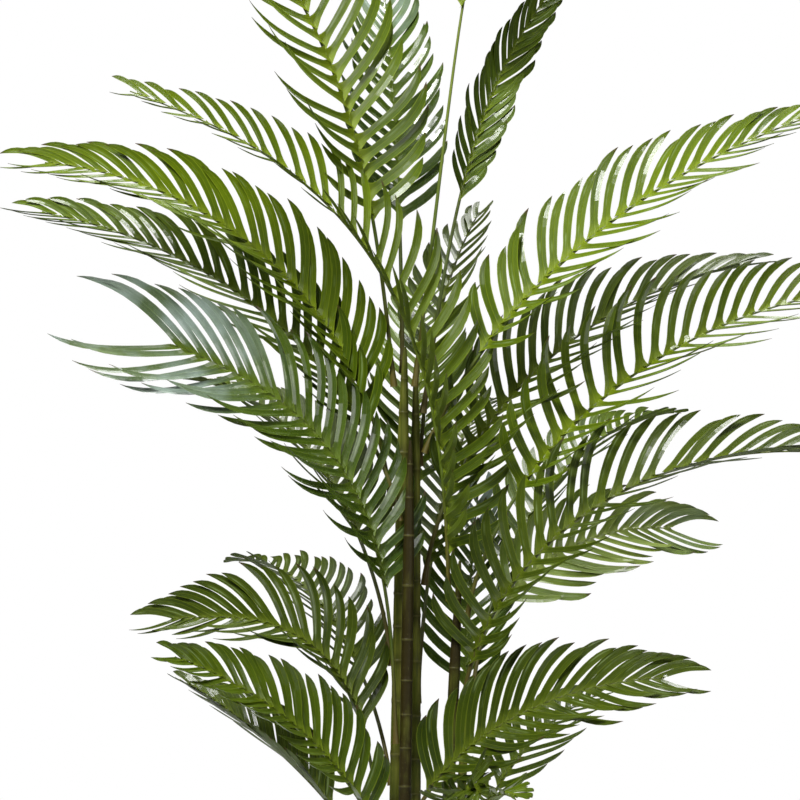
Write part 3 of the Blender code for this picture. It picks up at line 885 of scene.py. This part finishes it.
FRONDS = {
    "crown_left": Frond("a", 0.84, 195, 0.26, 0.68, 84, 25, 1.9,
        0.165, -70, 25, 66, 26, "bright", 1.0, 0.50),
    "crown_back": Frond("a", 0.86, 100, 0.24, 0.46, 86, 50, 1.5, 0.120, 0, 20, 60, 21, "blue"),
    "crown_tall": Frond("a", 0.84, 10, 0.58, 0.42, 83, 10, 6.0, 0.120, 40, 30, 62, 20, "bright"),
    "crown_right": Frond("c", 0.80, 35, 0.34, 0.50, 80, 30, 2.2, 0.085, 72, 30, 44, 24, "mid"),
    "front_left": Frond("d", 0.52, 205, 0.08, 0.90, 88, 17, 2.0,
        0.150, -52, 38, 74, 31, "bright", 2.0, 0.32, 8),
    "left_upper": Frond("a", 0.66, 184, 0.16, 0.63, 84, 4, 1.0,
        0.150, -62, 38, 52, 27, "bright", 1.0, 0.50, 10),
    "left_middle": Frond("b", 0.64, 165, 0.14, 0.64, 80, 10, 0.7,
        0.145, -57, 40, 54, 26, "mid", 1.0, 0.50, 20),
    "left_glossy": Frond("b", 0.31, 195, 0.24, 0.50, 88, 22, 2.4,
        0.140, -40, 22, 66, 25, "blue", 2.2, 1.40, -40),
    "left_low": Frond("a", 0.14, 192, 0.20, 0.36, 82, -2, 3.0, 0.135, -50, 35, 60, 20, "dark", 3.0, 0.50),
    "left_low_front": Frond("b", 0.10, 212, 0.12, 0.41, 78, 20, 0.7, 0.120, -60, 35, 60, 21, "mid"),
    "left_lowest": Frond("a", 0.08, 160, 0.16, 0.29, 72, 28, 0.5, 0.105, -20, 45, 50, 17, "dark"),
    "right_low": Frond("b", 0.20, 340, 0.05, 0.41, 66, 4, 0.7, 0.140, 62, 25, 56, 20, "dark", 1.0, 0.55),
    "right_light": Frond("d", 0.34, 32, 0.20, 0.34, 84, -4, 1.0,
        0.120, 62, 18, 58, 16, "pale", 1.3, 0.90),
    "right_large": Frond("d", 0.34, 350, 0.09, 0.76, 88, -16, 0.8,
        0.150, 84, 40, 64, 28, "dark", 1.0, 0.42, -86),
    "right_glossy": Frond("d", 0.48, 10, 0.22, 0.66, 84, 5, 0.72,
        0.150, 56, 40, 70, 24, "bright", 1.0, 0.60, -24),
    "right_middle": Frond("c", 0.54, 15, 0.14, 0.62, 84, 10, 0.8,
        0.140, 74, 38, 60, 25, "dark", 1.0, 0.50, -60),
    "right_upper": Frond("c", 0.74, 355, 0.18, 0.68, 68, 15, 0.8,
        0.145, 55, 22, 62, 27, "bright", 1.0, 0.22, -20),
    "back_short": Frond("c", 0.72, 60, 0.15, 0.30, 84, 40, 1.2, 0.100, 0, 20, 60, 13, "dark"),
    "back_low": Frond("e", 0.26, 82, 0.12, 0.36, 82, 40, 1.2, 0.120, 0, 20, 60, 16, "blue"),
    "back_lowest": Frond("e", 0.10, 45, 0.12, 0.30, 72, 10, 0.8, 0.100, 20, 20, 60, 13, "mid"),
    "rear_high": Frond("c", 0.50, 88, 0.20, 0.54, 84, 12, 1.0, 0.125, 0, 25, 60, 23, "mid"),
    "rear_left": Frond("a", 0.42, 130, 0.20, 0.50, 80, 5, 0.9, 0.125, 0, 30, 60, 23, "dark"),
    "rear_centre": Frond("c", 0.36, 75, 0.22, 0.52, 82, 5, 0.9, 0.120, 0, 30, 60, 22, "dark"),
    "rear_right": Frond("e", 0.36, 50, 0.20, 0.56, 80, 0, 0.9, 0.120, 0, 30, 60, 23, "mid"),
    "rear_low": Frond("a", 0.24, 120, 0.18, 0.46, 76, -5, 0.8, 0.120, 0, 30, 60, 20, "dark"),
    "front_right": Frond("d", 0.10, 278, 0.12, 0.26, 72, -5, 0.8, 0.095, 30, 30, 60, 15, "dark"),
    "front_low": Frond("d", 0.06, 285, 0.14, 0.30, 70, 0, 0.8, 0.100, 0, 30, 55, 13, "mid"),
}
LEAFLET_WIDTH = 0.0160
LEAST_ANGLE = 15.0
LEAFLET_CURVE = 16.0
LEAFLET_DROOP = 0.07
LEAFLET_HOOK = 0.13
LEAFLET_CURL = 0.03
LEAFLET_TWIST = 14.0
UNEVENNESS = 0.14


def frond_foot(frond):
    """Where a frond leaves its cane: its stalk stands just off the leaf scar."""
    cane = CANES[frond.cane]
    heading = math.radians(frond.heading)
    reach = cane.radius + CANE_RING_SWELL + STALK_WIDTH / 2 + GAP * 2
    return cane_point(cane, frond.node) + Vector((math.cos(heading), math.sin(heading), 0.0)) * reach


def plain_mesh(name, tree, values):
    """Runs a tree once with these inputs and keeps its result as an ordinary mesh object."""
    carrier = new_piece(name + "_carrier", bpy.data.meshes.new(name + "_carrier"))
    modifier = carrier.modifiers.new("grow", "NODES")
    modifier.node_group = tree
    for item in tree.interface.items_tree:
        if item.in_out == "INPUT" and item.name in values:
            modifier[item.identifier] = values[item.name]
    depsgraph = bpy.context.evaluated_depsgraph_get()
    mesh = bpy.data.meshes.new_from_object(carrier.evaluated_get(depsgraph), depsgraph=depsgraph)
    mesh.name = name
    for index in reversed(range(len(mesh.materials))):
        if mesh.materials[index] is None:
            mesh.materials.pop(index=index)
    bpy.data.objects.remove(carrier)
    return new_piece(name, mesh)


def make_frond(name, frond, seed):
    """One frond as a plain mesh that stands for its CAD node."""
    slot = "leaf_" + frond.tone
    values = {
        "Foot": tuple(frond_foot(frond)),
        "Heading": math.radians(frond.heading),
        "Rise": math.radians(frond.rise),
        "Fall": math.radians(frond.fall),
        "Bend": frond.bend,
        "Settle": frond.settle,
        "Stalk": frond.stalk,
        "Blade": frond.blade,
        "Roll": math.radians(frond.roll),
        "Turn": math.radians(frond.turn),
        "Lift": math.radians(frond.lift),
        "Spread": math.radians(frond.spread),
        "Least Angle": math.radians(LEAST_ANGLE),
        "Leaflet Length": frond.leaflet,
        "Tip Length": frond.tip,
        "Leaflet Width": LEAFLET_WIDTH,
        "Curve": math.radians(LEAFLET_CURVE),
        "Droop": LEAFLET_DROOP,
        "Hook": LEAFLET_HOOK,
        "Curl": LEAFLET_CURL,
        "Twist": math.radians(LEAFLET_TWIST),
        "Unevenness": UNEVENNESS,
        "Pairs": frond.pairs,
        "Stalk Width": STALK_WIDTH,
        "Seed": seed,
        "Spine Finish": spine_materials[slot],
        "Leaf Finish": leaf_materials[slot],
    }
    piece = plain_mesh("palm_" + name, frond_tree, values)
    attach(piece, "root")
    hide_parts("frond_" + name)
    return piece


frond_pieces = [make_frond(name, frond, seed) for seed, (name, frond) in enumerate(FRONDS.items(), 1)]
triangles = sum(len(polygon.vertices) - 2 for piece in frond_pieces for polygon in piece.data.polygons)
print("fronds:", len(frond_pieces), "with", triangles, "triangles")

# %% [markdown]
# ## Canes
# A cane is a smooth stem that keeps a thin ring where each old leaf has dropped off. The ring is a narrow
# swelling, so the tube round the cane's line gets a radius that rises at each ring, and a slow wave added
# to the height makes the spaces between the rings uneven. The tree only needs the line's two ends and a
# few sizes, so one tree serves all five canes.

# %% Cane tree
CANE_INPUTS = {
    "Foot": ("NodeSocketVector", (0.0, 0.0, 0.0)),
    "Top": ("NodeSocketVector", (0.0, 0.0, 1.0)),
    "Radius": ("NodeSocketFloat", 0.01),
    "Ring Spacing": ("NodeSocketFloat", 0.042),
    "Ring Swell": ("NodeSocketFloat", 0.0010),
    "Point": ("NodeSocketFloat", 0.12),
    "Seed": ("NodeSocketInt", 1),
    "Finish": ("NodeSocketMaterial", None),
}
CANE_STEP = 0.0030
CANE_SIDES = 20
CANE_DEPTH = 0.110
RING_DRIFT = 0.016  # how far the rings stray from even spaces
RING_DRIFT_RATE = 17.0  # radians to the metre
HEIGHT = "height"  # metres up a cane from its foot, stretched here and there so that its rings stray
RING_WIDTH = 0.0028
HOLLOW_PLACE = 0.0065  # the shallow groove beside a ring
HOLLOW_WIDTH = 0.0035
HOLLOW_DEPTH = 0.35  # over the ring's swell


def bump_at(distance, width):
    """A smooth bump: 1 where the distance is 0, nearly 0 beyond two widths."""
    return combine("EXPONENT", (distance / width) ** 2.0 * -1.0)


def build_cane_tree():
    """A straight line, cut into short steps, with a tube round it whose radius follows the rings."""
    tree, given = new_shape_tree("ringed cane", CANE_INPUTS)
    ends = {"Start": given["Foot"], "End": given["Top"]}
    line = outcome(tree, "GeometryNodeCurvePrimitiveLine", "Curve", ends, mode="POINTS")
    steps = {"Curve": line, "Length": CANE_STEP}
    cut = outcome(tree, "GeometryNodeResampleCurve", "Curve", steps, mode="LENGTH")
    place = add_node(tree, "GeometryNodeSplineParameter")
    height = Term(tree, place.outputs["Length"])
    share = Term(tree, place.outputs["Factor"])
    whole = combine("LENGTH", given["Top"] - given["Foot"])
    wobble = outcome(tree, "ShaderNodeTexNoise", "Fac", {"W": height * 60.0 + given["Seed"] * 10.0},
                     noise_dimensions="1D")
    uneven = wobble - 0.5
    uphill = height + sine(height * RING_DRIFT_RATE + given["Seed"] * 2.4) * RING_DRIFT
    turn = (uphill + uneven * 0.004) / given["Ring Spacing"]
    gap = size_of(combine("FRACT", turn) - 0.5) * given["Ring Spacing"]
    ring = bump_at(gap, RING_WIDTH) * given["Ring Swell"]
    below = bump_at(gap - HOLLOW_PLACE, HOLLOW_WIDTH) * given["Ring Swell"] * -HOLLOW_DEPTH
    taper = least(whole * (1.0 - share) / given["Point"], 1.0) ** 0.55
    plain = given["Radius"] * (1.0 - share * 0.16 + uneven * 0.03)
    radius = (plain + ring + below) * (taper * 0.82 + 0.18)
    named = store(tree, cut, HEIGHT, uphill)
    return close_tree(tree, swept_tube(tree, named, circle(tree, CANE_SIDES), radius, given["Finish"]))


cane_tree = build_cane_tree()
print("ringed cane tree:", len(cane_tree.nodes), "nodes")

# %% [markdown]
# ## The canes' finish
# A ring is a thin line, a little paler than the skin, with a darker shade beside it. Old canes are
# browner and rougher than young ones, so each cane has its own share of brown, and a slow cloud spreads
# it unevenly up the cane.

# %% Cane materials
CANE_GREEN = (0.058, 0.072, 0.005)
CANE_OLIVE = (0.150, 0.155, 0.022)
CANE_BROWN = (0.024, 0.018, 0.002)
CANE_RING = (0.140, 0.135, 0.035)
RING_SPACING = 0.062
CANE_RING_RISE = 0.0006
CANE_POINT = 0.16  # length of its tapered top
CANE_BROWNING = {"a": 0.10, "b": 0.85, "c": 0.40, "d": 0.70, "e": 0.55}  # a cane's share of brown


def cane_material(name, browning):
    """A cane's skin: green and olive streaks, its share of brown, and its rings."""
    material, shader = new_material(name)
    tree = material.node_tree
    height = mesh_value(tree, HEIGHT)
    streaks = cloud(tree, 150.0, 3.0, (1.0, 1.0, 0.07))
    patches = cloud(tree, 22.0, 4.0, (1.0, 1.0, 0.35))
    flecks = cloud(tree, 420.0, 2.0, (1.0, 1.0, 0.5))
    gap = size_of(combine("FRACT", height / RING_SPACING) - 0.5) * RING_SPACING
    ring = 1.0 - ramp(gap, 0.0007, 0.0019)
    shade = (1.0 - ramp(gap, 0.002, 0.016)) * 0.5
    colour = blend(tree, ramp(streaks, 0.38, 0.68), CANE_GREEN, CANE_OLIVE)
    colour = blend(tree, ramp(patches, 0.80 - browning * 0.6, 1.0 - browning * 0.6), colour, CANE_BROWN)
    colour = blend(tree, shade, colour, CANE_BROWN)
    colour = blend(tree, ring * (patches * 0.5 + 0.1), colour, CANE_RING)
    colour = blend(tree, ramp(flecks, 0.66, 0.74) * 0.4, colour, CANE_RING)
    connect(tree, shader.inputs["Base Color"], colour)
    connect(tree, shader.inputs["Roughness"], streaks * 0.25 + patches * 0.2 + 0.26)
    shader.inputs["Specular IOR Level"].default_value = 0.22
    add_relief(tree, shader, streaks + flecks * 0.4 + ring * 0.4, 0.0009)
    return material


cane_skins = {name: cane_material("cane_skin_" + name, share) for name, share in CANE_BROWNING.items()}
print("cane finishes:", len(cane_skins))

# %% Canes in place


def make_cane(name, cane, seed):
    """One cane, from inside the root ball to its pointed top."""
    values = {
        "Foot": tuple(cane_point(cane, -CANE_DEPTH)),
        "Top": tuple(cane_point(cane, cane.height)),
        "Radius": cane.radius,
        "Ring Spacing": RING_SPACING,
        "Ring Swell": CANE_RING_RISE,
        "Point": CANE_POINT,
        "Seed": seed,
        "Finish": cane_skins[name],
    }
    piece = plain_mesh("palm_cane_" + name, cane_tree, values)
    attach(piece, "root")
    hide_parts("cane_" + name)
    return piece


cane_pieces = [make_cane(name, cane, seed) for seed, (name, cane) in enumerate(CANES.items(), 1)]
print("canes:", len(cane_pieces), "with", sum(len(piece.data.polygons) for piece in cane_pieces), "faces")

# %% [markdown]
# ## Soil
# Potting soil is a low uneven heap with crumbs and bits of bark lying on it. The heap is a disc moved up
# and down by noise in mesh code, set a little lower at the pot's wall, and closed underneath; the crumbs
# are small rough lumps scattered over it by a Geometry Nodes tree with a fixed seed.

# %% Soil heap
SOIL_RINGS = 26
SOIL_SIDES = 72
SOIL_ROUGHNESS = 0.0045
SOIL_HEAP = 0.003  # how far it stands over the root ball
SOIL_EDGE_DROP = 0.006  # how much lower it is at the pot's wall
SOIL_GAP = 0.0012
SOIL_SKIRT = 0.030


def soil_height(x, y):
    """The soil's surface, before its edge is lowered."""
    coarse = noise.noise(Vector((x * 16.0, y * 16.0, 3.1)))
    fine = noise.noise(Vector((x * 70.0, y * 70.0, 8.4)))
    return SOIL_TOP + SOIL_HEAP + coarse * SOIL_ROUGHNESS + fine * SOIL_ROUGHNESS * 0.35


def make_soil():
    """A closed low drum with an uneven top."""
    radius = (soil_high.x - soil_low.x) / 2 - SOIL_GAP
    bm = bmesh.new()
    rings = []
    for ring in range(1, SOIL_RINGS + 1):
        share = ring / SOIL_RINGS
        points = []
        for side in range(SOIL_SIDES):
            angle = math.tau * side / SOIL_SIDES
            x, y = radius * share * math.cos(angle), radius * share * math.sin(angle)
            points.append(bm.verts.new((x, y, soil_height(x, y) - SOIL_EDGE_DROP * share ** 8)))
        rings.append(points)
    middle = bm.verts.new((0.0, 0.0, soil_height(0.0, 0.0)))
    skirt = [bm.verts.new((v.co.x, v.co.y, SOIL_TOP - SOIL_SKIRT)) for v in rings[-1]]
    bottom = bm.verts.new((0.0, 0.0, SOIL_TOP - SOIL_SKIRT))
    for side in range(SOIL_SIDES):
        after = (side + 1) % SOIL_SIDES
        bm.faces.new((middle, rings[0][side], rings[0][after]))
        for inner, outer in zip(rings, rings[1:]):
            bm.faces.new((inner[side], outer[side], outer[after], inner[after]))
        bm.faces.new((rings[-1][side], skirt[side], skirt[after], rings[-1][after]))
        bm.faces.new((bottom, skirt[after], skirt[side]))
    for face in bm.faces:
        face.smooth = True
    return new_piece("soil_heap", mesh_of("soil_heap", bm))


# %% Soil's finish
SOIL_DARK = (0.016, 0.010, 0.006)
SOIL_BROWN = (0.060, 0.036, 0.020)
SOIL_PALE = (0.150, 0.100, 0.060)


def soil_material(name, scale, paleness):
    """Damp soil or bark: dark crumbs with paler bits."""
    material, shader = new_material(name)
    tree = material.node_tree
    crumbs = cloud(tree, scale, 6.0)
    bits = cloud(tree, scale * 3.3, 2.0)
    colour = blend(tree, ramp(crumbs, 0.36, 0.64), SOIL_DARK, SOIL_BROWN)
    colour = blend(tree, ramp(bits, 0.60, 0.72) * paleness, colour, SOIL_PALE)
    connect(tree, shader.inputs["Base Color"], colour)
    connect(tree, shader.inputs["Roughness"], crumbs * 0.3 + 0.66)
    add_relief(tree, shader, crumbs + bits * 0.5, 0.004)
    return material


soil_heap = make_soil()
soil_heap.data.materials.append(soil_material("soil_crumbs", 90.0, 0.7))
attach(soil_heap, "root")
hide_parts("soil")
print("soil heap:", len(soil_heap.data.polygons), "faces")

# %% Crumbs and bark scattered on the soil
CRUMB_ROUGHNESS = 1.3
CRUMB_TILT = 0.6  # radians
CRUMB_FLATNESS = 0.6
CRUMB_SEED = 4
CRUMB_DENSITY = 9000.0  # to the square metre
CRUMB_SIZES = (0.0012, 0.0060)
CRUMB_INPUTS = {
    "Ground": ("NodeSocketObject", None),
    "Density": ("NodeSocketFloat", CRUMB_DENSITY),
    "Smallest": ("NodeSocketFloat", CRUMB_SIZES[0]),
    "Largest": ("NodeSocketFloat", CRUMB_SIZES[1]),
    "Seed": ("NodeSocketInt", CRUMB_SEED),
    "Finish": ("NodeSocketMaterial", None),
}


def build_crumb_tree():
    """Rough lumps scattered over the upward faces of the ground."""
    tree, given = new_shape_tree("scattered crumbs", CRUMB_INPUTS)
    ground = outcome(tree, "GeometryNodeObjectInfo", "Geometry", {"Object": given["Ground"]})
    normal = outcome(tree, "GeometryNodeInputNormal", 0, {})
    upwards = outcome(tree, "ShaderNodeSeparateXYZ", "Z", {0: normal})
    points = outcome(tree, "GeometryNodeDistributePointsOnFaces", "Points", {
        "Mesh": ground, "Selection": combine("GREATER_THAN", upwards, 0.8), "Density": given["Density"],
        "Seed": given["Seed"]})
    ball = outcome(tree, "GeometryNodeMeshIcoSphere", "Mesh", {"Radius": 1.0, "Subdivisions": 2})
    where = outcome(tree, "GeometryNodeInputPosition", 0, {})
    bumps = outcome(tree, "ShaderNodeTexNoise", "Fac", {"Vector": where, "Scale": 1.7})
    lump = outcome(tree, "GeometryNodeSetPosition", "Geometry",
                   {"Geometry": ball, "Offset": where * (bumps - 0.5) * CRUMB_ROUGHNESS})
    index = item_number(tree)
    size = chance(tree, 0.0, 1.0, given["Seed"], index) ** 3.0
    radius = given["Smallest"] + (given["Largest"] - given["Smallest"]) * size
    turn = vector_of(tree, chance(tree, 0.0, CRUMB_TILT, given["Seed"] + 1.0, index),
                     chance(tree, 0.0, CRUMB_TILT, given["Seed"] + 2.0, index),
                     chance(tree, 0.0, math.tau, given["Seed"] + 3.0, index))
    longer = chance(tree, 1.0, 1.9, given["Seed"] + 4.0, index)
    flat = vector_of(tree, radius * longer, radius, radius * CRUMB_FLATNESS)
    crumbs = real_copies(tree, points, lump, Rotation=turn, Scale=flat)
    return close_tree(tree, finished(tree, crumbs, given["Finish"]))


crumb_tree = build_crumb_tree()
crumbs = plain_mesh("soil_bark_bits", crumb_tree, {
    "Ground": soil_heap,
    "Density": CRUMB_DENSITY,
    "Smallest": CRUMB_SIZES[0],
    "Largest": CRUMB_SIZES[1],
    "Seed": CRUMB_SEED,
    "Finish": soil_material("bark_bits", 60.0, 0.9),
})
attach(crumbs, "root")
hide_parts("soil")
print("crumbs:", len(crumbs.data.polygons), "faces")

# %% [markdown]
# ## Pot
# The pot is a plain tapered one with a band under its rim, thrown on a wheel. A wheel leaves faint level
# rings in the clay, so the outline is swept round in many steps and its wall waves by a fraction of a
# millimetre. The clay itself is matt, with small dark specks.

# %% Pot
POT_SIDES = 128
POT_WALL = 0.010
POT_FLOOR = 0.014
POT_BASE_RADIUS = 0.130
POT_BAND_HEIGHT = 0.034
POT_BAND_PROUD = 0.005
POT_EDGE = 0.004  # radius of its rounded edges
POT_CORNER = 0.006  # radius between its inside wall and floor
POT_BEVEL = 0.0015
WHEEL_RING = 0.00025
WHEEL_STEP = 0.006


def arc(centre, radius, start, turn, steps=6):
    """Points along an arc, in degrees."""
    angles = [math.radians(start + turn * step / steps) for step in range(steps + 1)]
    return [(centre[0] + radius * math.cos(a), centre[1] + radius * math.sin(a)) for a in angles]


def wall(radius_low, radius_high, low, high, upwards):
    """A stretch of wall with the faint rings of the wheel."""
    steps = max(2, int((high - low) / WHEEL_STEP * 3))
    points = []
    for step in range(1, steps):
        share = step / steps
        height = low + (high - low) * share
        wave = WHEEL_RING * math.sin(height / WHEEL_STEP * math.tau)
        points.append((radius_low + (radius_high - radius_low) * share + wave, height))
    return points if upwards else points[::-1]


# %% Pot's section, and the pot
def pot_outline():
    """The section, from the middle of its inside floor over the rim to the middle of its underside."""
    height = pot_high.z
    rim = (pot_high.x - pot_low.x) / 2
    outside = rim - POT_BAND_PROUD
    slope = (outside - POT_BASE_RADIUS) / height
    band = height - POT_BAND_HEIGHT
    inside_low = POT_BASE_RADIUS + slope * POT_FLOOR - POT_WALL
    inside_high = outside - POT_WALL
    corner = inside_low - POT_CORNER
    points = [(0.0, POT_FLOOR), (corner, POT_FLOOR)]
    points += arc((corner, POT_FLOOR + POT_CORNER), POT_CORNER, -90, 90, 4)[1:]
    points += wall(inside_low, inside_high, POT_FLOOR + POT_CORNER * 2, height - POT_EDGE, True)
    points += arc((inside_high + POT_EDGE, height - POT_EDGE), POT_EDGE, 180, -90)
    points += arc((rim - POT_EDGE, height - POT_EDGE), POT_EDGE, 90, -90)
    points += arc((rim - POT_EDGE, band + POT_EDGE), POT_EDGE, 0, -90)
    under_band = POT_BASE_RADIUS + slope * band
    points += [(under_band + POT_BEVEL, band), (under_band, band - POT_BEVEL)]
    low, high = POT_CORNER, band - POT_EDGE
    points += wall(POT_BASE_RADIUS + slope * low, POT_BASE_RADIUS + slope * high, low, high, False)
    points += arc((POT_BASE_RADIUS - POT_EDGE, POT_EDGE), POT_EDGE, 0, -90)
    return points + [(0.0, 0.0)]


def make_pot():
    """The outline swept round Z, with its poles closed."""
    outline = pot_outline()
    bm = bmesh.new()
    rings = []
    for radius, height in outline:
        if radius == 0.0:
            rings.append([bm.verts.new((0.0, 0.0, height))])
            continue
        angles = [math.tau * side / POT_SIDES for side in range(POT_SIDES)]
        rings.append([bm.verts.new((radius * math.cos(a), radius * math.sin(a), height)) for a in angles])
    for lower, upper in zip(rings, rings[1:]):
        for side in range(POT_SIDES):
            after = (side + 1) % POT_SIDES
            corners = [lower[side % len(lower)], lower[after % len(lower)]]
            corners += [upper[after % len(upper)], upper[side % len(upper)]]
            face = bm.faces.new(list(dict.fromkeys(corners)))
            face.smooth = True
    bmesh.ops.recalc_face_normals(bm, faces=bm.faces)
    return new_piece("clay_pot", mesh_of("clay_pot", bm))


# %% Clay
CLAY = (0.52, 0.49, 0.44)
CLAY_SHADE = (0.36, 0.33, 0.29)
CLAY_SPECK = (0.10, 0.085, 0.07)


def clay_material():
    """Matt stoneware: a slow change of tone, level wheel lines and small specks."""
    material, shader = new_material("stoneware")
    tree = material.node_tree
    tone = cloud(tree, 7.0, 4.0)
    lines = cloud(tree, 40.0, 3.0, (0.12, 0.12, 3.0))
    specks = cloud(tree, 420.0, 1.0)
    colour = blend(tree, ramp(tone, 0.35, 0.68) * 0.6 + ramp(lines, 0.4, 0.7) * 0.3, CLAY, CLAY_SHADE)
    colour = blend(tree, ramp(specks, 0.70, 0.74), colour, CLAY_SPECK)
    connect(tree, shader.inputs["Base Color"], colour)
    connect(tree, shader.inputs["Roughness"], tone * 0.15 + lines * 0.12 + 0.58)
    add_relief(tree, shader, lines + specks * 0.3, 0.0006)
    return material


clay_pot = make_pot()
clay_pot.data.materials.append(clay_material())
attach(clay_pot, "root")
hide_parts("pot")
print("pot:", len(clay_pot.data.polygons), "faces")
